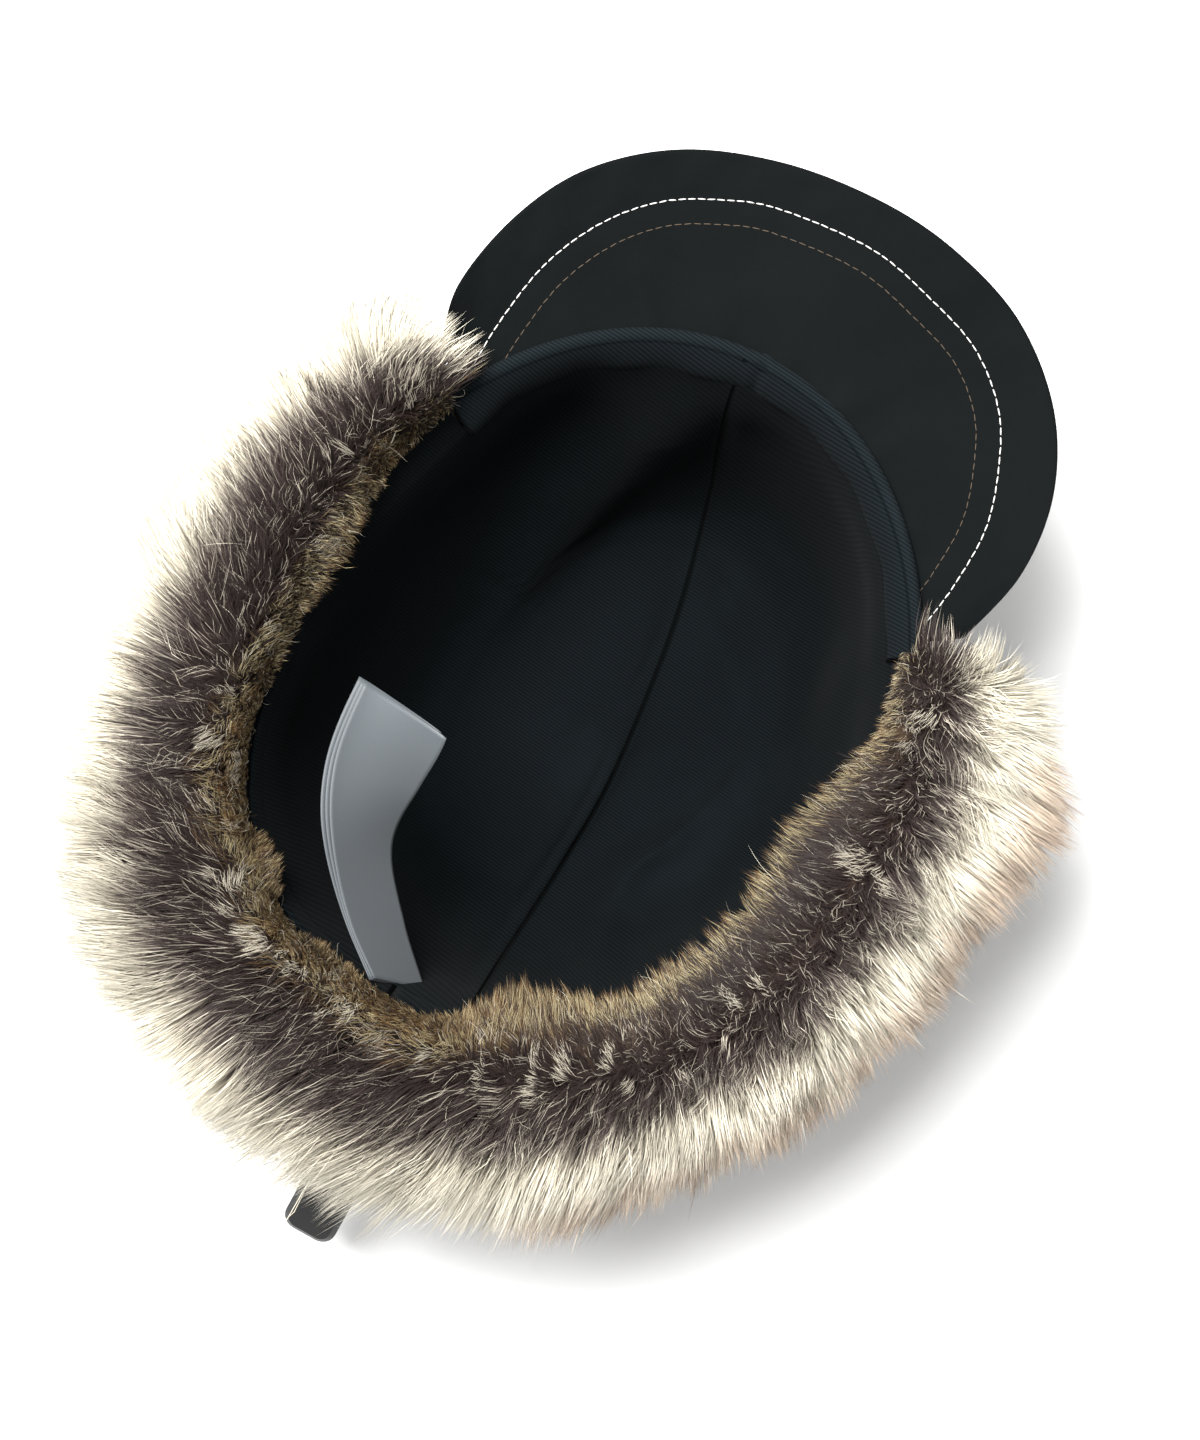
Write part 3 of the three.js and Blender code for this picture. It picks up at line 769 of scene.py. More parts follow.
@dataclass
class Bowl:
    """One layer of the two-panel crown: the shell outside or the lining inside."""

    name: str
    inset: float
    thickness: float
    steps: tuple[int, int]
    inside: bool
    patch_rows: float = 0.1  # share of the grid's rows that close the flat patch
    stitch_away: float = 3.2  # mm from the seam to the rows beside it
    stitch: Stitch = Stitch(2.4, 3.0, 0.42)
    patch_reach: float = 52.0  # mm from the middle of the flat patch to its edge
    wall_reach: float = 135.0  # mm from there up to the rim
    rounded: float = 24.0  # mm of cloth on each side that round a place at the patch's corner
    map_patch: float = 40.0  # mm that the flat patch takes up on the cloth's map
    map_radius: float = 92.0  # mm, the mean radius that the map is as wide as
    seen_from: tuple[float, float, float] = (6.0, -5.0, 1082.0)  # mm, where the ridges were plotted from
    # Ridges that the slack lining makes: points in plan at rim height as seen from above, the height, and
    # the spread on the left and on the right of the line.
    ridges: tuple = (
        (((-12, 92), (-28, 62), (-36, 32), (-38, 14)), 13.0, 14, 12),
        (((-46, 86), (-50, 58), (-49, 30), (-41, 10)), -5.0, 14, 7),
        (((4, 24), (10, -10), (9, -45), (2, -80)), 4.5, 20, 7),
        (((12, 66), (18, 52), (24, 35), (26, 5)), 4.0, 9, 20),
        (((44, -28), (37, -44), (40, -68)), 8.0, 12, 5),
        (((52, 6), (46, -18), (41, -40)), 5.0, 6, 11),
        (((14, 36), (26, 28), (37, 20)), -2.4, 4, 6),
        (((26, -4), (24, -26), (16, -52)), -3.0, 6, 9),
        (((2, -2), (6, -12)), -2.4, 3, 4),
        (((60, 44), (66, 10)), 3.0, 8, 6),
    )

    def level(self, v: Array) -> Array:
        """The level of a grid row: the flat patch first, then the wall."""
        wall = (v - self.patch_rows) / (1 - self.patch_rows)
        return np.where(v < self.patch_rows, v / self.patch_rows - 1, wall)

    def place(self, u: Array, v: Array) -> Array:
        """Points of the layer's visible side, in millimetres."""
        turn = (2 * u - 1) * math.pi * (1 if self.inside else -1)
        level = self.level(v)
        if not self.inside:
            return FORM.inset(turn, level, np.full(u.shape, self.inset))
        # Slack cloth doesn't follow the corner round the flat patch, so that is rounded along the cloth.
        along = np.where(level < 0, level * self.patch_reach, level * self.wall_reach)
        spread = self.rounded * (1 - smoothstep(np.abs(along), 20, 42))
        points = np.zeros((*u.shape, 3))
        for share, weight in ((-1, 0.1), (-0.6, 0.2), (-0.25, 0.2), (0.25, 0.2), (0.6, 0.2), (1, 0.1)):
            place = along + share * spread
            near = np.where(place < 0, place / self.patch_reach, place / self.wall_reach)
            points += weight * FORM.inset(turn, np.clip(near, -1, 1), np.full(u.shape, self.inset))
        return points + self.slack(turn, level, points)

    def slack(self, turn: Array, level: Array, points: Array) -> Array:
        """How the slack lining's folds move its points, in millimetres."""
        eye = np.array(self.seen_from)
        nearer = (eye[2] - FORM.rim_height) / (eye[2] - points[:, 2:])
        plan = eye[:2] + (points[:, :2] - eye[:2]) * nearer
        height = np.zeros(len(points))
        for rows, rise, left, right in self.ridges:
            line = spline(np.asarray(rows, float), np.linspace(0, 1, 40), False)
            ahead = unit(np.gradient(line, axis=0))
            away = plan[:, None, :] - line
            nearest = np.argmin(np.sum(away**2, -1), axis=1)
            off = away[np.arange(len(plan)), nearest]
            distance = np.linalg.norm(off, axis=1)
            across = ahead[nearest, 1] * off[:, 0] - ahead[nearest, 0] * off[:, 1]
            spread = left + (right - left) * (0.5 - 0.5 * across / np.maximum(distance, 0.01))
            ends = 0.45 + 0.55 * np.sin(math.pi * np.clip(nearest / 39, 0.02, 0.98)) ** 0.7
            height += rise * bump(distance, spread) * ends
        # In front the lining sinks along its seam. Further back one panel stands up beside it.
        seam = self.seam(points)
        upper = smoothstep(plan[:, 1], 5, 30)
        height -= 2.0 * upper * np.where(seam < 0, bump(seam, 7), bump(seam, 2.6))
        height += (1 - upper) * (2.0 * bump(seam + 1.7, 1.6) - 0.6 * bump(seam + 4.2, 0.9))
        height += 0.35 * np.sin(plan[:, 0] / 9 + 1.3 * np.sin(plan[:, 1] / 17))
        # The cloth comes up flush with the bands.
        height *= 1 - smoothstep(level, 0.68, 0.95)
        # The crown's shell lies close behind, so nothing dips much below the plain lining.
        height = 0.5 * (height + 0.4 + np.hypot(height + 0.4, 1.2)) - 0.5
        # It stands up to the bands' inner side, which lies further in at the front.
        height += (1.3 + 1.0 * (np.abs(turn) < 60 * DEG)) * smoothstep(level, 0.72, 0.88)
        fade = 1 - smoothstep(level, 0.925, 0.97)
        inward = -FORM.crown_normal(turn, np.maximum(level, 0))
        return inward * (height * fade)[:, None]

    def seam(self, points: Array) -> Array:
        """The distance in plan from the seam between the panels, in millimetres."""
        return points[:, 0] - FORM.seam_x(points[:, 1])

    def cloth(self, u: Array, v: Array) -> Array:
        """The cloth's own coordinates: round the wall, and up it from the patch."""
        level = self.level(v)
        rows = np.linspace(0, 1, 60)
        wall = FORM.inset(np.full(60, 0.8), rows, np.full(60, self.inset))
        up = np.where(level < 0, level * self.map_patch, np.interp(level, rows, lengths_along(wall)))
        return np.stack([(2 * u - 1) * math.pi * self.map_radius, up], -1)

    def build(self, material: bpy.types.Material, slot: str) -> None:
        marks = {"seam": lambda u, v: self.seam(self.place(u, v))}
        piece = grid_piece(self.name, self.steps, self.place, True, self.thickness, self.cloth, marks)
        kind = "lining" if self.inside else "crown"
        finish_piece(piece, material, (f"{kind}_left", f"{kind}_right"))

    def topstitch(self, thread: bpy.types.Material) -> None:
        """Sews a row on each side of the panels' seam, from the rim down to the flat patch."""
        for end, middle in (("front", 0.0), ("back", math.pi)):
            turns = middle + np.linspace(-0.9, 0.9, 181)
            for side in Side:
                line, normals = [], []
                for level in np.linspace(0.03, 0.94, 70):
                    off = self.seam(FORM.crown(turns, level)) - side.value * self.stitch_away
                    order = np.argsort(off)
                    turn = np.interp(0, off[order], turns[order])
                    line.append(FORM.crown(turn, level))
                    normals.append(FORM.crown_normal(turn, level))
                name = f"crown_stitches_{end}_{side.name.lower()}"
                finish_piece(self.stitch.sew(name, np.array(line), np.array(normals)), thread)


@dataclass
class Bands:
    """The lining's band inside the rim. In front it rolls over the rim to the peak's seam."""

    thickness: float = 0.9
    inset: float = 4.4
    level: float = 0.925  # of the crown's wall, where the side bands start
    half_front: float = 60.0  # degrees that the front band reaches to each side
    length: float = 200.0  # mm of cloth along a band
    width: float = 16.0  # mm of cloth across it
    # The front band's section: how deep inside the crown's surface, and how high above the rim.
    roll: tuple = (
        (5.2, -11),
        (6.0, -8),
        (5.6, -5),
        (4.2, -2),
        (2.4, 0.1),
        (0.6, 1.0),
        (-0.7, 0.3),
        (-0.9, -1.2),
    )

    def front(self, u: Array, v: Array) -> Array:
        """Points of the front band."""
        turn = (2 * u - 1) * self.half_front * DEG
        section = spline(self.roll, v)
        depth, up = section[:, 0], section[:, 1]
        # It is widest on the wearer's right, puckers a little, and has one crease near its middle.
        width = 1 + 0.25 * bump(turn / DEG + 42, 22)
        level = np.minimum(1, 1 + np.minimum(up, 0) * width / FORM.rim_height)
        points = FORM.inset(turn, level, depth + 0.35 * np.sin(turn * 23) * bump(up + 8, 4))
        points[:, 2] += np.maximum(up, 0)
        crease = bump(turn / DEG + 1.5, 1.1)
        return points + FORM.crown_normal(turn, np.ones(len(u))) * (0.7 * crease)[:, None]

    def rear(self, side: Side) -> Callable[[Array, Array], Array]:
        """Points of the band on one side, behind the front one."""

        def place(u: Array, v: Array) -> Array:
            turn = side.value * (self.half_front + u * (180 - self.half_front)) * DEG
            return FORM.inset(turn, self.level + v * (1 - self.level), np.full(u.shape, self.inset))

        return place

    def cloth(self, u: Array, v: Array) -> Array:
        """The cloth's own coordinates along and across the band."""
        return np.stack([u * self.length, v * self.width], -1)

    def build(self, material: bpy.types.Material, front: bpy.types.Material) -> None:
        """Makes the three bands, the front one in a paler copy of the twill that is painted light."""
        marks = {"seam": lambda u, v: np.minimum(u, 1 - u) * self.length + 0.1}
        shared = {"thickness": self.thickness, "cloth_map": self.cloth, "marks": marks}
        piece = grid_piece("front_band", (220, 18), self.front, **shared)
        finish_piece(piece, front, ("band_front",))
        for side in Side:
            name = side.name.lower()
            turned = side is Side.RIGHT
            piece = grid_piece(f"{name}_band", (90, 4), self.rear(side), turned=turned, **shared)
            finish_piece(piece, material, (f"band_{name}",))


# Cloth without a seam in sight is everywhere this many millimetres away from one.
NO_SEAM = {"seam": lambda u, v: np.full(len(u), 9.0)}


@dataclass
class Peak:
    """The padded peak: two faces of cotton, rolled at the edge, with a white and a brown row of stitches."""

    thickness: float = 3.6
    edge_thickness: float = 2.4
    foot: float = -0.78  # mm inside the crown's surface; less than 0 is outside it
    end_taper: float = 0.012  # share of the peak's width over which its ends get thin
    level: float = 0.975  # of the crown's wall, where the peak is sewn on
    rise: float = 9.0  # mm that the outer edge lies over the joint
    side_rise: float = 4.0  # mm more at the sides
    wave: tuple[float, float] = (1.6, 3.5)  # mm, and half turns across the peak
    grain: tuple = ((0.94, 0.34), (-0.34, 0.94))  # how the weave lies on the flat cut
    nap: float = 0.25  # mm that the edge ripples
    # The outer edge: the angle at which it leaves the rim, and where it lies.
    edge: tuple = (
        (-57, -83, 64),
        (-51, -87.5, 82),
        (-42, -83, 106),
        (-31, -71.5, 127.5),
        (-20, -51, 145.5),
        (-9, -25, 156),
        (1, 3, 159.5),
        (11, 29, 157.5),
        (21, 54, 149.5),
        (32, 74, 133),
        (43, 86, 111),
        (52, 89, 87),
        (57, 83.5, 64),
    )
    # The white row of stitches in plan.
    white_line: tuple = (
        (-73.6, 62.3),
        (-72.8, 79.4),
        (-69.3, 99.0),
        (-61.2, 116.2),
        (-49.5, 129.7),
        (-35, 138.6),
        (-19.2, 144.3),
        (8.3, 146.7),
        (29.8, 142.6),
        (47.6, 136.5),
        (61.4, 124.9),
        (69.5, 110.2),
        (74.5, 93.8),
        (74.6, 76.2),
        (73.0, 63.5),
    )
    # Each row's colour, how far it lies inside the white line, and how it is sewn.
    rows: tuple = (("white", 0.0, Stitch(2.3, 2.75, 0.44)), ("brown", 6.8, Stitch(2.2, 2.75, 0.32)))
    across: int = 190
    # Soft puckers that start at the joint: where across the peak, how wide, how high, how far out.
    puckers: tuple = (
        (0.2, 0.018, 0.9, 0.35),
        (0.3, 0.014, 0.8, 0.45),
        (0.39, 0.02, 1.0, 0.3),
        (0.5, 0.016, 0.6, 0.3),
        (0.62, 0.02, 1.0, 0.4),
        (0.7, 0.016, 0.8, 0.35),
        (0.81, 0.02, 0.7, 0.3),
    )

    def middle(self, u: Array, v: Array) -> Array:
        """Points half way through the peak."""
        count = np.arange(len(self.edge))
        rows = np.asarray(self.edge, float)
        angle = spline(np.stack([count, rows[:, 0]], -1), u, False)[..., 1]
        outer = spline(rows[:, 1:], u, False)
        inner = FORM.inset(angle * DEG, np.full(u.shape, self.level), np.full(u.shape, self.foot))
        side = 2 * u - 1
        wave = self.wave[0] * np.sin(self.wave[1] * math.pi * side + 0.6)
        up = (self.rise + self.side_rise * side**2 + wave) * np.maximum(v, 0) ** 1.3
        x = inner[..., 0] + (outer[..., 0] - inner[..., 0]) * v
        y = inner[..., 1] + (outer[..., 1] - inner[..., 1]) * v
        return np.stack([x, y, inner[..., 2] + up], -1)

    def section(self) -> Array:
        """The peak's section: how far out, and on which side of the middle, each grid row lies."""
        out = np.concatenate([[0, 0.004], np.linspace(0.02, 0.955, 34)])
        angles = np.linspace(math.pi / 2, -math.pi / 2, 11)
        tip = np.stack([0.97 + 0.03 * np.cos(angles), np.sin(angles)], -1)
        top = np.stack([out, np.where(out < 0.002, 0, 1.0)], -1)
        under = top[::-1] * np.array([1, -1])
        return np.vstack([top, tip, under])

    def place(self, u: Array, v: Array) -> Array:
        """Points on the peak's skin."""
        rows = self.section()
        index = np.round(v * (len(rows) - 1)).astype(int)
        out, half = rows[index, 0], rows[index, 1]
        thickness = self.thickness + (self.edge_thickness - self.thickness) * out**3
        # The peak's ends taper to nothing where they run in under the fur.
        taper = np.clip(np.minimum(u, 1 - u) / self.end_taper, 0.25, 1) ** 0.5
        points = self.middle(u, out)
        points[:, 2] += half * thickness / 2 * taper
        points[:, 2] += np.where(half > 0.5, self.relief(u, out, points), 0)
        return points

    def relief(self, u: Array, out: Array, points: Array) -> Array:
        """How the upper face stands up or dips round its puckers and stitches."""
        height = np.zeros(len(u))
        for at, width, rise, reach in self.puckers:
            lean = at + 0.06 * (out - 0.2) * (1 if at > 0.5 else -1)
            height += rise * bump(u - lean, width * (1 + 2 * out)) * bump(out, reach)
        tree = search_tree(np.insert(self.stitch_plan(0.0), 2, 0, axis=1))
        away = np.array([tree.find((x, y, 0))[2] for x, y in points[:, :2]])
        height += 0.35 * (1 - bump(away, 2.2)) - 0.25
        beyond = smoothstep(out, 0.6, 0.8) * (1 - smoothstep(out, 0.93, 0.97))
        return height + self.nap * np.sin(u * 95) * beyond * (1 - bump(away, 3))

    def stitch_plan(self, inside: float) -> Array:
        """A stitch line seen from above, some way inside the white one."""
        line = spline(self.white_line, np.linspace(0, 1, 600), False)
        ahead = unit(np.gradient(line, axis=0))
        inward = np.stack([ahead[:, 1], -ahead[:, 0]], -1)
        return line + inward * inside

    def cloth(self, u: Array, v: Array) -> Array:
        """The cloth's own coordinates, as the peak is cut flat."""
        return self.place(u, v)[:, :2] @ np.array(self.grain)

    def build(self, material: bpy.types.Material, threads: dict[str, bpy.types.Material]) -> None:
        """Makes the peak and its two rows of stitches."""
        steps = (self.across, len(self.section()) - 1)
        piece = grid_piece("padded_peak", steps, self.place, cloth_map=self.cloth, marks=NO_SEAM)
        work_on(
            piece.data,
            merge_points,
            lambda work: bmesh.ops.holes_fill(work, edges=[e for e in work.edges if e.is_boundary], sides=0),
            lambda work: bmesh.ops.recalc_face_normals(work, faces=work.faces),
        )
        piece.data.shade_smooth()
        finish_piece(piece, material, ("peak",))
        self._sew(piece, threads)

    def _sew(self, piece: bpy.types.Object, threads: dict[str, bpy.types.Material]) -> None:
        """Sews the two rows on the peak's upper face."""
        vertices = piece.data.vertices
        points, normals = vectors(vertices, "co") / MM, vectors(vertices, "normal")
        upper = normals[:, 2] > 0.3
        points, normals = points[upper], normals[upper]
        tree = search_tree(points * np.array([1, 1, 0]))
        for colour, inside, stitch in self.rows:
            line, up = [], []
            for x, y in self.stitch_plan(inside):
                near = tree.find_n((x, y, 0), 4)
                weights = np.array([1 / (distance + 0.05) for _, _, distance in near])
                heights = points[[number for _, number, _ in near], 2]
                line.append((x, y, heights @ weights / weights.sum()))
                up.append(normals[near[0][1]])
            row = stitch.sew(f"peak_{colour}_stitches", np.array(line), np.array(up))
            finish_piece(row, threads[colour])


@dataclass
class EarFlap:
    """The cloth side of an ear flap, which the fur grows on."""

    side: Side
    thickness: float = 2.0
    cut: tuple[float, float] = (250.0, 98.0)  # mm of cloth along and down the flap

    def place(self, u: Array, v: Array) -> Array:
        """Points on the side of the flap that faces the crown."""
        return FORM.flap(self.side, u, v, np.full(u.shape, -self.thickness / 2))

    def cloth(self, u: Array, v: Array) -> Array:
        """The cloth's own coordinates along and down the flap."""
        return np.stack([u, v], -1) * np.array(self.cut)

    def build(self, material: bpy.types.Material) -> None:
        """Makes the flap's cloth side."""
        name = self.side.name.lower()
        piece = grid_piece(
            f"flap_cloth_{name}",
            (90, 40),
            self.place,
            thickness=self.thickness,
            cloth_map=self.cloth,
            marks=NO_SEAM,
            turned=self.side is Side.LEFT,
        )
        finish_piece(piece, material, (f"ear_flap_{name}",))


class RimMap:
    """Tells how far round the rim and how far out from it any place in plan lies."""

    def __init__(self, step: float = 2.0) -> None:
        self.step = step
        self.x = np.arange(-170, 171, step)
        self.y = np.arange(-200, 151, step)
        turn = np.arange(30, 330, 0.5) * DEG
        rim = FORM.crown(turn, 1.0)[:, :2]
        out = unit(FORM.crown_normal(turn, np.ones(len(turn)))[:, :2])
        plan = np.stack(np.meshgrid(self.x, self.y, indexing="ij"), -1)
        away = plan[:, :, None, :] - rim
        nearest = np.argmin(np.sum(away**2, -1), -1)
        self.turn = turn[nearest] / DEG
        self.out = np.sum((plan - rim[nearest]) * out[nearest], -1)

    def read(self, points: Array) -> tuple[Array, Array]:
        """The turn in degrees, from 30 to 330, and the distance out from the rim in millimetres."""
        place = (points[..., :2] - np.array([self.x[0], self.y[0]])) / self.step
        limit = np.array([len(self.x) - 1.001, len(self.y) - 1.001])
        place = np.clip(place, 0, limit)
        low = place.astype(int)
        share = place - low
        i, j = low[..., 0], low[..., 1]
        a, b = share[..., 0], share[..., 1]

        def mixed(table: Array) -> Array:
            lower = table[i, j] * (1 - b) + table[i, j + 1] * b
            upper = table[i + 1, j] * (1 - b) + table[i + 1, j + 1] * b
            return lower * (1 - a) + upper * a

        return mixed(self.turn), mixed(self.out)


@dataclass(frozen=True)
class Pile:
    """How the pile lies and is dyed round the rim."""

    # Angle round the rim, past 180 on the wearer's right. Then how far out from the rim, in millimetres,
    # the hair starts, the cream edge ends, the dark band ends, the white starts, the pinkish tips start
    # and the hair ends. Then how far a long hair leans round the rim, and how tan the inner hair is.
    columns: tuple = ("turn", "start", "cream", "dark", "white", "pink", "end", "lean", "tan")
    # The pinkish tips lie mostly on the wearer's left, away from the light; their darker tone is partly
    # painted shade.
    rows: tuple = (
        (55, -2, -2, 7, 12, 70, 26, 0, 0.0),
        (60, -5, -5, 10, 15, 70, 32, 2, 0.0),
        (66, -7, -6, 12, 20, 70, 40, 13, 0.1),
        (72, -8, -4, 14, 23, 36, 49, 13, 0.5),
        (78, -13, -10, 14, 24, 34, 50, 8, 0.2),
        (84, -17, -14, 15, 24, 33, 45, 6, 0.1),
        (90, -20, -17, 16, 24, 33, 41, 5, 0.1),
        (96, -22, -18, 17, 25, 33, 42, 5, 0.0),
        (102, -20, -16, 17, 25, 35, 44, 5, 0.0),
        (108, -18, -15, 17, 25, 35, 40, 5, 0.1),
        (116, -18, -14, 18, 26, 35, 42, 5, 0.0),
        (122, -19, -14, 17, 24, 35, 43, 6, 0.0),
        (128, -18, -12, 17, 24, 34, 40, 7, 0.1),
        (135, -15, -10, 18, 25, 36, 42, 8, 0.2),
        (142, -17, -11, 20, 27, 38, 47, 9, 0.3),
        (149, -19, -12, 22, 29, 41, 51, 10, 0.4),
        (156, -20, -9, 23, 32, 52, 51, 11, 0.6),
        (163, -17, -4, 26, 34, 70, 52, 13, 0.7),
        (170, -6, 4, 28, 36, 70, 54, 15, 0.8),
        (176, -2, 8, 33, 41, 70, 56, 17, 0.9),
        (180, -2, 8, 33, 42, 70, 57, 14, 0.9),
        (187, -5, 5, 32, 42, 70, 58, 8, 0.8),
        (194, -5, 5, 31, 41, 70, 58, 4, 0.8),
        (200, 0, 8, 30, 40, 70, 57, 8, 1.0),
        (205, -2, 8, 30, 40, 70, 56, 13, 0.9),
        (211, -9, 2, 31, 42, 70, 55, 16, 0.5),
        (218, -7, 4, 31, 41, 70, 54, 15, 0.7),
        (225, 1, 8, 30, 40, 70, 53, 10, 0.9),
        (232, 2, 9, 28, 38, 70, 51, 3, 0.9),
        (239, 1, 8, 29, 39, 70, 50, -2, 0.8),
        (246, -2, 6, 27, 37, 70, 50, 3, 0.5),
        (253, -4, 4, 26, 36, 70, 49, 10, 0.3),
        (260, -6, 0, 24, 34, 43, 47, 13, 0.2),
        (268, -9, -1, 24, 34, 43, 46, 11, 0.1),
        (276, -8, -2, 24, 34, 44, 46, 6, 0.1),
        (284, -5, -2, 22, 31, 70, 44, 3, 0.5),
        (288, -4, 1, 20, 28, 70, 43, 3, 1.0),
        (294, -4, -3, 15, 24, 70, 38, 3, 0.3),
        (300, -3, -3, 10, 18, 70, 31, 0, 0.0),
        (305, -2, -2, 3, 10, 70, 26, 0, 0.0),
    )
    # Where each of those limits lies on the scale that the fur's colours are read from.
    scale: tuple = (0.0, 0.26, 0.6, 0.74, 0.88, 1.0)
    tips: float = 8.0  # mm that the pinkish tips are wide at least

    def read(self, turn: Array, column: str) -> Array:
        """One column of the table at the given angles."""
        table = np.asarray(self.rows)
        return np.interp(turn, table[:, 0], table[:, self.columns.index(column)])

    def dye(self, turn: Array, out: Array) -> Array:
        """Where on the colour scale a place in plan lies."""
        limits = [self.read(turn, column) for column in self.columns[1:7]]
        limits[5] = np.maximum(limits[5], limits[4] + self.tips)
        value = np.zeros(turn.shape)
        for low, high, start, end in zip(limits, limits[1:], self.scale, self.scale[1:]):
            value += np.clip((out - low) / np.maximum(high - low, 0.3), 0, 1) * (end - start)
        return value


PILE = Pile()
RIM = RimMap()
TRIANGLE = ((0, 1), (1, 2), (2, 0))  # the sides of a strand


def split_ends(values: Array) -> tuple[Array, Array]:
    """Splits values along hairs into three for each ring and one for the tip."""
    return np.repeat(values[:, :-1, None], 3, axis=2), values[:, -1:]


def on_strand(rings: Array, tip: Array) -> Array:
    """Lines up the values of each strand's points, ring by ring, with its tip last."""
    return np.concatenate([rings.reshape(len(rings), -1, rings.shape[-1]), tip], axis=1)


@dataclass(frozen=True)
class HairZone:
    """One band of hairs along a flap."""

    name: str
    count: int
    down: tuple[float, float]
    rings: int
    clump: float  # mm between clumps
    radius: float  # mm
    pull: float  # how far a hair's tip is drawn to the middle of its clump
    curl: float  # mm that a hair waves to its side
    dyed: str  # along the hair when it is short or hanging, or in stripes across the flap
    flecks: float = 0.0  # share of clumps with cream tips in the dark stripe
    around: tuple[float, float] = (0.0, 1.0)
    forward: float = 0.0  # mm that the tips lean to the front


@dataclass
class Fur:
    """The fur on one ear flap: a dense ground and some tens of thousands of hairs."""

    side: Side
    # The bands of hair, from the mouth outwards and down.
    zones: tuple = (
        HairZone("roll", 12400, (0.0, 0.15), 3, 4.0, 0.12, 0.35, 1.0, "short"),
        HairZone("inner_crest", 12400, (0.08, 0.3), 3, 4.5, 0.13, 0.4, 1.6, "stripes", 0.15),
        HairZone("outer_crest", 12000, (0.27, 0.52), 3, 6.5, 0.15, 0.35, 1.1, "stripes", 0.04),
        HairZone("skirt", 11400, (0.46, 1.0), 3, 8.0, 0.19, 0.35, 1.0, "hanging"),
        HairZone("stray", 800, (0.05, 0.36), 6, 9.0, 0.045, 0.1, 2.2, "stray"),
        HairZone("front_tuft", 2300, (0.1, 0.6), 3, 7.0, 0.15, 0.4, 0.8, "stripes", 0.0, (0.0, 0.055), 15.0),
    )
    dye_marks: tuple = ("dye", "tan", "short")
    extent: tuple[float, float] = (250.0, 100.0)  # mm along and down the flap
    root: float = 1.3  # mm over the flap's middle, where the hairs grow
    crest: float = 14.0  # mm out from the rim, where the pile's crest lies
    usual_end: float = 49.0  # mm out from the rim, where the hair ends that the next table is for
    tuft_lean: float = 17.0  # mm that tips lean to the front at the front corner
    stiff: float = 0.42  # how far a hair stands off the flap before it bends over, as a share of its length
    short_share: float = 0.11  # of the hairs, which are shorter than the others
    loose_share: float = 0.015  # of the hairs, which stand out of the pile
    # Down the flap: how far a hair's tip stands out, how much of the overhang it takes inwards, and how
    # far up it stands.
    reach: tuple = (
        (0.0, 0.0, 1.0, -1.0),
        (0.04, 0.0, 1.0, 3.0),
        (0.08, -1.0, 0.9, 6.0),
        (0.12, -1.0, 0.6, 9.5),
        (0.17, 0.0, 0.3, 13.0),
        (0.22, 5.0, 0.05, 16.0),
        (0.28, 14.0, 0.0, 18.0),
        (0.38, 28.0, 0.0, 14.0),
        (0.46, 35.0, 0.0, 4.0),
        (0.6, 30.0, 0.0, -8.0),
        (0.76, 24.0, 0.0, -16.0),
        (0.92, 19.0, 0.0, -19.0),
        (1.0, 14.0, 0.0, -20.0),
    )

    def roots(self, rng: np.random.Generator, count: int, zone: HairZone) -> tuple[Array, Array]:
        """Where hairs grow, spread evenly over a zone by area.

        Args:
            rng: the source of random numbers.
            count: how many hairs.
            zone: the zone.

        Returns:
            How far round, and how far down the flap, each root lies.
        """
        rows = np.linspace(*zone.down, 80)
        section = spline(FORM.flap_section, rows)
        lengths = lengths_along(section)
        share = (np.arange(count) + rng.random(count)) / count
        down = np.interp(rng.permutation(share) * lengths[-1], lengths, rows)
        around = zone.around[0] + rng.random(count) * (zone.around[1] - zone.around[0])
        return around, down

    def aim(self, around: Array, down: Array, forward: float) -> tuple[Array, Array, Array]:
        """Where hairs point before they are jittered.

        Args:
            around: how far round the flap each root lies.
            down: how far down it lies.
            forward: how far the tips of a front tuft lean to the front.

        Returns:
            The roots, the direction that each hair leaves in, and the way from its root to its tip.
        """
        root = FORM.flap(self.side, around, down, np.full(around.shape, self.root))
        normal = FORM.flap_normal(self.side, around, down)
        turn = FORM.flap_turn(self.side, around, down) / DEG
        seen = np.mod(turn, 360)
        over = np.maximum(-PILE.read(seen, "start"), 1)
        full = np.clip((PILE.read(seen, "end") - self.crest) / (self.usual_end - self.crest), 0.45, 1.2)
        places, outs, shares, ups = zip(*self.reach)
        out = np.interp(down, places, outs)
        out = np.where(out > 0, out * full, out) - np.interp(down, places, shares) * (over + 1)
        # Where the pile hardly overhangs the mouth, its inner edge stands up instead.
        up = np.interp(down, places, ups)
        up = up + 7 * (1 - smoothstep(over, 0, 9)) * (1 - smoothstep(down, 0.05, 0.2))
        outward = unit(FORM.crown_normal(turn * DEG, np.ones(len(turn))) * np.array([1, 1, 0]))
        tip = outward * out[:, None] + np.array([0, 0, 1.0]) * up[:, None]
        back = unit(np.cross(outward, np.array([0, 0, 1.0]))) * self.side.value
        front = np.maximum(0, 1 - around / 0.07)
        tip -= back * (front * self.tuft_lean * smoothstep(down, 0.04, 0.22))[:, None]
        if forward:
            tip = tip * 0.5 + back * -forward
            tip[:, 2] = 5 + 2 * np.cos(around * 400) - 22 * np.maximum(0, down - 0.35)
        lean = PILE.read(seen, "lean") * self.side.value
        # The locks sway to and fro along the flap.
        sway = 2.2 * np.sin(around * 27 + down * 5) + 1.2 * np.sin(around * 61 - down * 9 + 2)
        tip += back * ((lean + sway) * (0.15 + 0.85 * smoothstep(down, 0.08, 0.34)))[:, None]
        return root, normal, tip

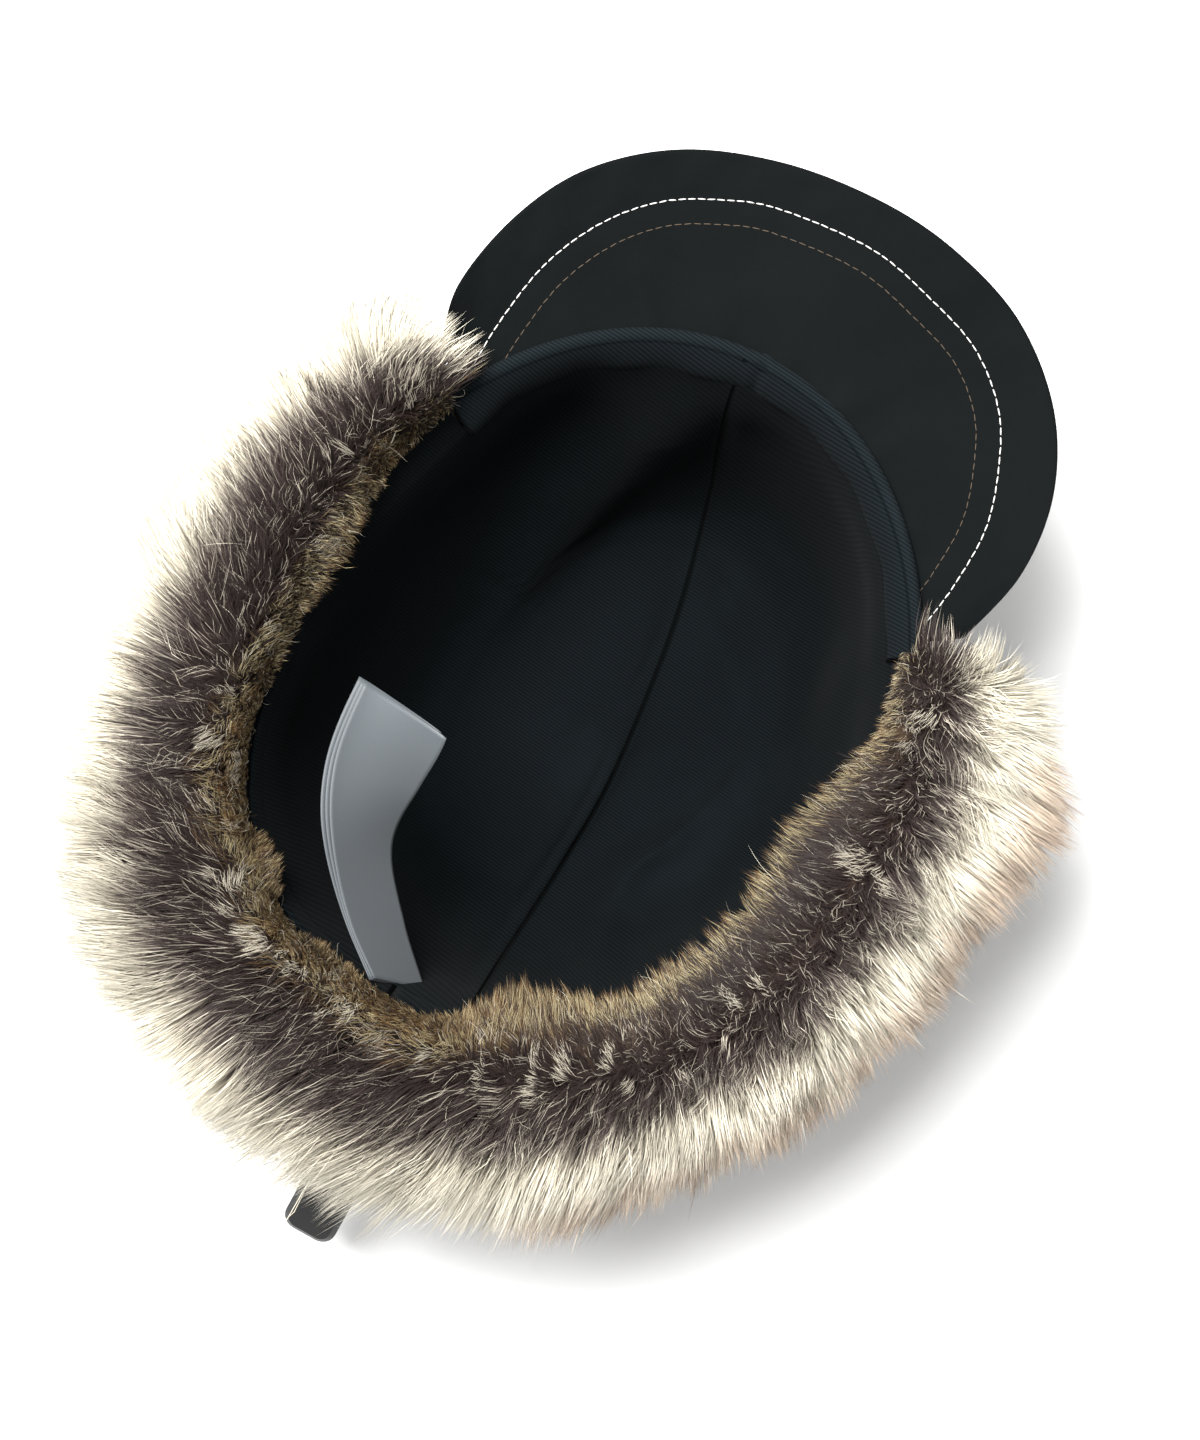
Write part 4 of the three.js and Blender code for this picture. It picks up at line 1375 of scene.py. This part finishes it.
    def hairs(self, rng: np.random.Generator, zone: HairZone) -> dict[str, Array]:
        """Grows one zone.

        Args:
            rng: the source of random numbers.
            zone: the zone.

        Returns:
            The hairs' middle lines, and the numbers that their colour is read from.
        """
        around, down = self.roots(rng, zone.count, zone)
        root, normal, tip = self.aim(around, down, zone.forward)
        length = np.linalg.norm(tip, axis=1)
        wide, deep = (zone.around[1] - zone.around[0]) * self.extent[0], zone.down[1] - zone.down[0]
        clumps = max(24, int(wide * deep * self.extent[1] / zone.clump**2))
        mid_around, mid_down = self.roots(rng, clumps, zone)
        mid_root, mid_normal, mid_tip = self.aim(mid_around, mid_down, zone.forward)
        mid_length = np.linalg.norm(mid_tip, axis=1)
        # Along the crest, where the pile parts, its locks fall to all sides.
        loose = (0.12 + 0.2 * bump(mid_down - 0.27, 0.06)) * mid_length
        mid_tip += rng.normal(0, 1, mid_tip.shape) * loose[:, None]
        mid_tip *= rng.uniform(0.88, 1.1, clumps)[:, None]
        tree = search_tree(mid_root)
        own = np.array([tree.find(point)[1] for point in root])
        short = rng.random(zone.count) < self.short_share
        stretch = rng.uniform(0.85, 1.06, zone.count) * np.where(short, rng.uniform(0.5, 0.8, zone.count), 1)
        # How far tips scatter, as a share of the hair: more where the two flaps meet.
        stray = np.where(rng.random(zone.count) < self.loose_share, 0.22, 0.06)[:, None]
        if zone.dyed == "stray":
            stray = np.full((zone.count, 1), 0.24)
        stray = stray + 0.1 * smoothstep(around, 0.94, 1.0)[:, None]
        tip = tip * stretch[:, None] + rng.normal(0, 1, tip.shape) * stray * length[:, None]
        shares = np.linspace(0, 1, zone.rings + 1)
        lines = self.bend(root, normal, tip, shares)
        middles = self.bend(mid_root, mid_normal, mid_tip, shares)[own]
        strength = zone.pull * rng.uniform(0.5, 1.15, zone.count)[:, None, None]
        lines += (middles - lines) * strength * (shares**1.5)[None, :, None]
        sideways = unit(np.cross(tip, normal))[:, None, :]
        phase = (rng.random(clumps) * 6.3)[own] + rng.normal(0, 0.5, zone.count)
        wave = np.sin(phase[:, None] + shares * rng.uniform(3.5, 5.5, clumps)[own][:, None])
        lines += sideways * (zone.curl * wave * shares)[:, :, None]
        tone = 0.45 * rng.random(clumps)[own] + 0.55 * rng.random(zone.count)
        return {
            "lines": lines,
            "shares": shares,
            "normal": normal,
            "tone": tone,
            **self.dyes(rng, zone, lines, shares, own, clumps),
        }

    def dyes(
        self,
        rng: np.random.Generator,
        zone: HairZone,
        lines: Array,
        shares: Array,
        own: Array,
        clumps: int,
    ) -> dict[str, Array]:
        """Says how the hairs are dyed.

        Args:
            rng: the source of random numbers.
            zone: the zone.
            lines: the hairs' middle lines.
            shares: how far along its hair each of a line's points lies.
            own: each hair's clump.
            clumps: how many clumps there are.

        Returns:
            For each point, its place on the colour scale, and how tan and how short its hair is.
        """
        count = len(lines)
        turn, out = RIM.read(lines)
        uneven = rng.uniform(0.3, 1.0, clumps)[own] + rng.uniform(-0.3, 0.4, count)
        tan = np.clip(PILE.read(turn, "tan") * uneven[:, None], 0, 1.2)
        along = np.broadcast_to(shares, turn.shape)
        none = np.zeros(turn.shape)
        # A dye is a place on the scale of AcrylicFur, from 0 to 1.
        if zone.dyed == "short":
            cream = 1 - 0.3 * tan * rng.random(clumps)[own][:, None]
            cream = np.where(rng.random(count) < 0.45, 0.46, 1)[:, None] * cream
            dye = along * cream + 0.05 * rng.normal(size=(count, 1)) * along
            edge = PILE.read(turn, "cream") + 0.8 + 2.2 * rng.normal(size=(count, 1)) - out
            dye = np.minimum(dye, 0.42 + 0.6 * smoothstep(edge, 0, 3.5))
            return {"dye": np.clip(dye, 0, 1), "tan": tan, "short": np.ones(turn.shape)}
        if zone.dyed == "hanging":
            # The skirt's pinkish tips follow the table: partly painted shade.
            pink = smoothstep(60 - PILE.read(turn, "pink"), 5, 20)
            dye = np.interp(along, [0, 0.25, 0.45, 0.8, 1.0], [0.52, 0.6, 0.74, 0.87, 0.87])
            dye = dye + 0.13 * pink * smoothstep(along, 0.72, 1.0) + 0.03 * rng.normal(size=(count, 1))
            return {"dye": np.clip(dye, 0, 1), "tan": none, "short": none}
        if zone.dyed == "stray":
            dye = np.interp(along, [0, 0.4, 1.0], [0.5, 0.64, 0.7]) + 0.04 * rng.normal(size=(count, 1))
            return {"dye": dye, "tan": tan * 0.3, "short": none}
        shift = rng.normal(0, 1.5, clumps)[own] + rng.normal(0, 3.2, count)
        mixed = 2.2 * smoothstep(PILE.read(turn, "tan"), 0.3, 0.9) * rng.normal(size=(count, 1))
        dye = PILE.dye(turn, out + shift[:, None] + mixed)
        near = PILE.dye(turn, out + 0.35 * (shift[:, None] + mixed))
        dye = np.where(dye < 0.34, near, dye)
        # Some of the inner hairs are dark, some of the dark ones paler, and some clumps end in cream.
        dark, pale = (rng.random(count) < 0.45)[:, None], (rng.random(count) < 0.13)[:, None]
        dye = np.where(dark & (dye < 0.3), 0.3 + 0.1 * along, dye)
        dye = np.where(pale & (dye > 0.3) & (dye < 0.62), 0.52 + 0.18 * along, dye)
        fleck = (rng.random(clumps) < zone.flecks)[own] & (rng.random(count) < 0.8)
        middle = (out > -8) & (out < 11)
        paler = np.interp(along, [0, 0.33, 0.67, 1.0], [0.4, 0.48, 0.68, 0.7])
        dye = np.where(fleck[:, None] & middle & (dye < 0.7), paler, dye)
        return {"dye": dye, "tan": tan * smoothstep(0.3 - dye, 0, 0.05), "short": none}

    def bend(self, root: Array, normal: Array, tip: Array, shares: Array) -> Array:
        """Hairs that leave along the normal and bend over to their tips."""
        length = np.linalg.norm(tip, axis=1)[:, None]
        s = shares[None, :, None]
        turned = (normal * length * self.stiff)[:, None, :] * (2 * s * (1 - s))
        return root[:, None, :] + turned + tip[:, None, :] * s**1.35

    def mesh_hairs(self, name: str, hairs: dict[str, Array], radius: float) -> bpy.types.Object:
        """Turns hairs into closed three-sided strands, joined as one piece.

        Args:
            name: the piece's name.
            hairs: the hairs, as hairs() gives them.
            radius: a hair's radius in millimetres.

        Returns:
            The piece.
        """
        lines, shares = hairs["lines"], hairs["shares"]
        count, rings = len(lines), len(shares) - 1
        ahead = unit(np.gradient(lines, axis=1))
        rng = np.random.default_rng(SEED + 9)
        side = unit(np.cross(ahead, unit(rng.normal(size=(count, 1, 3)))))
        third = np.cross(ahead, side)
        width = radius * np.interp(shares[:-1], [0, 0.4, 0.8, 1], [0.8, 1.0, 0.75, 0.2])
        # The corners of each ring about its middle.
        angles = (np.arange(3) * 2 * math.pi / 3)[:, None]
        corners = np.cos(angles) * side[:, :-1, None, :] + np.sin(angles) * third[:, :-1, None, :]
        corners *= width[:, None, None]
        points = on_strand(corners + lines[:, :-1, None, :], lines[:, -1:])
        faces = [[0, 2, 1]]
        for first in range(0, 3 * (rings - 1), 3):
            faces += [[first + a, first + b, first + 3 + b, first + 3 + a] for a, b in TRIANGLE]
        last = 3 * (rings - 1)
        faces += [[last + a, last + b, 3 * rings] for a, b in TRIANGLE]
        piece = repeated_shape(name, points, faces)
        # The hairs are shaded as a soft surface: their normals lean to the side that faces off the pile.
        normal = hairs["normal"][:, None, :]
        facing = normal - ahead * np.sum(normal * ahead, -1, keepdims=True)
        facing = on_strand(*split_ends(unit(facing + 0.25 * normal)))
        round_about = on_strand(corners / radius, ahead[:, -1:] * 0.5)
        soft = unit(facing + 0.7 * round_about)
        piece.data.normals_split_custom_set_from_vertices(soft.reshape(-1, 3))
        marks = {mark: on_strand(*split_ends(hairs[mark][..., None])).ravel() for mark in self.dye_marks}
        marks["tone"] = np.repeat(hairs["tone"], points.shape[1])
        set_marks(piece.data, marks)
        return piece

    def ground(self, u: Array, v: Array) -> Array:
        """Points on the top of the dense ground that the long hairs stand in."""
        uneven = 0.7 * np.sin(u * 140 + 3 * np.sin(v * 30)) + 0.5 * np.sin(v * 70 + u * 60)
        depth = np.interp(v, [0, 0.15, 0.4, 0.9, 1.0], [1.6, 3.4, 5.0, 4.5, 2.0])
        depth = depth + uneven * smoothstep(v, 0.0, 0.2)
        return FORM.flap(self.side, u, v, 1.2 + depth)

    def build(self, fur: bpy.types.Material, ground: bpy.types.Material) -> None:
        """Makes the ground and the hairs."""
        name = self.side.name.lower()
        node = f"fur_{name}"
        piece = grid_piece(
            f"fur_ground_{name}",
            (120, 50),
            self.ground,
            thickness=1.0,
            marks={"down": lambda u, v: v},
            turned=self.side is Side.RIGHT,
        )
        finish_piece(piece, ground, (node,))
        rng = np.random.default_rng(SEED + self.side.value)
        for zone in self.zones:
            hairs = self.hairs(rng, zone)
            piece = self.mesh_hairs(f"fur_{zone.name}_{name}", hairs, zone.radius)
            finish_piece(piece, fur, (node,))


@dataclass
class CareLabel:
    """The bare satin label: three thin leaves, sewn in at the back and curling up over the lining."""

    width: float = 28.0
    leaf: float = 0.3
    pitch: float = 0.65
    # Down a leaf's middle: its place, then the turn and the tilt of its width in degrees.
    path: tuple = (
        (-7.5, -98.5, 111, 8, 60),
        (-22, -86, 110, 16, 58),
        (-36, -69, 110, 27, 56),
        (-42, -50, 113, 14, 30),
        (-43.5, -29, 119, -6, 4),
    )
    # For each leaf: how far its left edge shows beyond the first, and how far its free end curls down.
    shows: tuple = ((0.0, 0.0), (1.0, -0.36), (2.1, 0.24))

    def place(self, number: int) -> Callable[[Array, Array], Array]:
        """Points on one leaf."""
        beyond, curl = self.shows[number]

        def points(u: Array, v: Array) -> Array:
            rows = np.asarray(self.path, float)
            read = spline(rows, u)
            before, after = (spline(rows[:, :3], np.clip(u + step, 0, 1)) for step in (-0.01, 0.01))
            ahead = unit(after - before)
            yaw, tilt = read[:, 3] * DEG, read[:, 4] * DEG
            across = np.stack([np.cos(yaw) * np.cos(tilt), np.sin(yaw) * np.cos(tilt), -np.sin(tilt)], -1)
            normal = unit(np.cross(across, ahead))
            side = (v - 0.5) * self.width - beyond * smoothstep(u, 0.1, 0.6)
            # A slight twist, edges that stand up towards the free end, and that end's curl.
            lift = -number * self.pitch + 0.3 * np.sin(u * 9 + number) * (v - 0.5)
            lift += 1.1 * (2 * v - 1) ** 4 * smoothstep(u, 0.45, 1.0)
            lift -= curl * smoothstep(u, 0.75, 1.0)
            return read[:, :3] + across * side[:, None] + normal * lift[:, None]

        return points

    def build(self, material: bpy.types.Material) -> None:
        """Makes the three leaves."""
        for number in range(3):
            name = f"label_leaf_{number + 1}"
            piece = grid_piece(name, (60, 24), self.place(number), thickness=self.leaf, turned=True)
            finish_piece(piece, material, (f"care_label_{number + 1}",))


@dataclass
class Adjuster:
    """The tape at the back and the plain toggle at its end."""

    width: float = 11.0
    thickness: float = 1.6
    length: float = 26.0
    x: float = 3.0  # mm from the cap's middle
    droop: float = 9.0
    rib: float = 0.12  # mm deep

    def tape(self, u: Array, v: Array) -> Array:
        """Points on the tape's upper side."""
        low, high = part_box("adjuster_tab")
        y = high[1] / MM - u * self.length
        z = high[2] / MM - self.droop * u**2 - self.rib * np.abs(np.sin((v - 0.5) * 26))
        return np.stack([self.x + (v - 0.5) * self.width, y, z], -1)

    def build(self, webbing: bpy.types.Material, plastic: bpy.types.Material) -> None:
        """Makes the tape, and gives the toggle its plastic."""
        piece = grid_piece("adjuster_tape", (24, 22), self.tape, thickness=self.thickness)
        finish_piece(piece, webbing, ("adjuster_tab",))
        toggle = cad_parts["toggle"]
        toggle.data.materials.clear()
        toggle.data.materials.append(plastic)


@dataclass
class Studio:
    """The pale floor, the soft light from one side, and the camera over the cap."""

    lens: float = 85.0  # mm
    sensor: float = 36.0  # mm
    place: tuple[float, float, float] = (0.005978, -0.005010, 1.082)
    turn: float = 29.0  # degrees
    aim: tuple[float, float, float] = (0.0, 0.0, 0.08)
    world: float = 0.46
    # Each light's name, place, size, watts and colour.
    lights: tuple = (
        ("key", (-0.57, 0.25, 1.85), (0.75, 0.75), 80, "#ffffff"),
        ("side", (-1.25, 0.4, 1.15), (0.6, 0.6), 12, "#ffffff"),
        ("fill", (0.2, 0.0, 2.2), (2.8, 2.8), 12, "#ffffff"),
    )

    def floor(self) -> None:
        """A wide sheet of pale paper under the cap."""
        mesh = bpy.data.meshes.new("floor")
        work_on(mesh, lambda work: bmesh.ops.create_grid(work, x_segments=2, y_segments=2, size=4))
        piece = new_piece("floor", mesh)
        paper = PlainFinish(
            "floor_paper", "#f7f7f6", "#f4f4f3", grain=60, relief=0.0, roughness=0.9, specular=0.2
        )
        mesh.materials.append(paper.build())

    def light(self, name: str, place: tuple, size: tuple, power: float, colour: str) -> None:
        """Adds a soft light that looks at the cap."""
        lamp = bpy.data.lights.new(name, "AREA")
        lamp.shape = "RECTANGLE"
        lamp.size, lamp.size_y = size
        lamp.energy = power
        lamp.color = linear(colour)[:3]
        piece = bpy.data.objects.new(name, lamp)
        piece.location = place
        aim = Vector(self.aim) - Vector(place)
        piece.rotation_euler = aim.to_track_quat("-Z", "Y").to_euler()
        bpy.context.collection.objects.link(piece)

    def camera(self) -> None:
        """The camera straight above the cap, turned as in the photograph."""
        lens = bpy.data.cameras.new("camera")
        lens.lens = self.lens
        lens.sensor_width = self.sensor
        camera = bpy.data.objects.new("camera", lens)
        camera.location = self.place
        camera.rotation_euler = (0, 0, math.radians(self.turn))
        bpy.context.collection.objects.link(camera)
        bpy.context.scene.camera = camera

    def build(self) -> None:
        """Sets up the floor, the lights and the camera."""
        self.floor()
        for settings in self.lights:
            self.light(*settings)
        world = bpy.data.worlds.new("studio")
        bpy.context.scene.world = world
        world.use_nodes = True
        background = world.node_tree.nodes["Background"]
        set_inputs(world.node_tree, background, {"Color": (1, 1, 1, 1), "Strength": self.world})
        bpy.context.scene.view_settings.view_transform = "Standard"
        bpy.context.scene.view_settings.look = "None"
        self.camera()


def main() -> None:
    """Builds the cap's pieces in order, and the studio round them."""
    twill = CottonTwill().build()
    cotton = ShellCotton().build()
    fur = AcrylicFur().build()
    threads = {
        colour: PlainFinish(
            f"{colour}_thread", *codes, grain=0.25, relief=0.05, roughness=roughness, specular=0.3
        ).build()
        for colour, codes, roughness in (
            ("white", ("#e8e8e4", "#bdbdb8"), 0.6),
            ("brown", ("#5a4d3e", "#3f352c"), 0.7),
            ("black", ("#2a2c2e", "#1e2022"), 0.6),
        )
    }
    # The white satin is given a mid grey: painted shade for the shadow that the label lies in, deep inside
    # the crown.
    satin = PlainFinish(
        "white_satin_ribbon",
        "#53585c",
        "#585d60",
        grain=0.4,
        relief=0.02,
        roughness=0.5,
        specular=0.4,
        sheen=0.1,
        stretch=(1, 0.1, 1),
    )
    tape = PlainFinish(
        "black_webbing", "#1a1b1d", "#26282a", grain=0.5, relief=0.15, roughness=0.85, specular=0.3
    )
    plastic = PlainFinish(
        "moulded_black_plastic", "#1f2020", "#262726", grain=0.35, relief=0.03, roughness=0.5
    )
    shell = Bowl("crown_shell", inset=0.0, thickness=1.4, steps=(180, 72), inside=False)
    shell.build(cotton, "shell")
    shell.topstitch(threads["black"])
    Bowl("lining_cloth", inset=3.1, thickness=1.2, steps=(250, 100), inside=True).build(twill, "lining")
    # The front band gets a paler copy of the lining's twill: painted light where the band faces up to the
    # lamp.
    paler_twill = CottonTwill(name="lit_front_band_twill", rib="#1a2023", furrow="#0d1113", rubbed="#1d2326")
    Bands().build(twill, paler_twill.build())
    Peak().build(cotton, threads)
    for side in Side:
        EarFlap(side).build(cotton)
    ground = PileGround().build()
    for side in Side:
        Fur(side).build(fur, ground)
    CareLabel().build(satin.build())
    Adjuster().build(tape.build(), plastic.build())
    Studio().build()


if __name__ == "__main__":
    main()
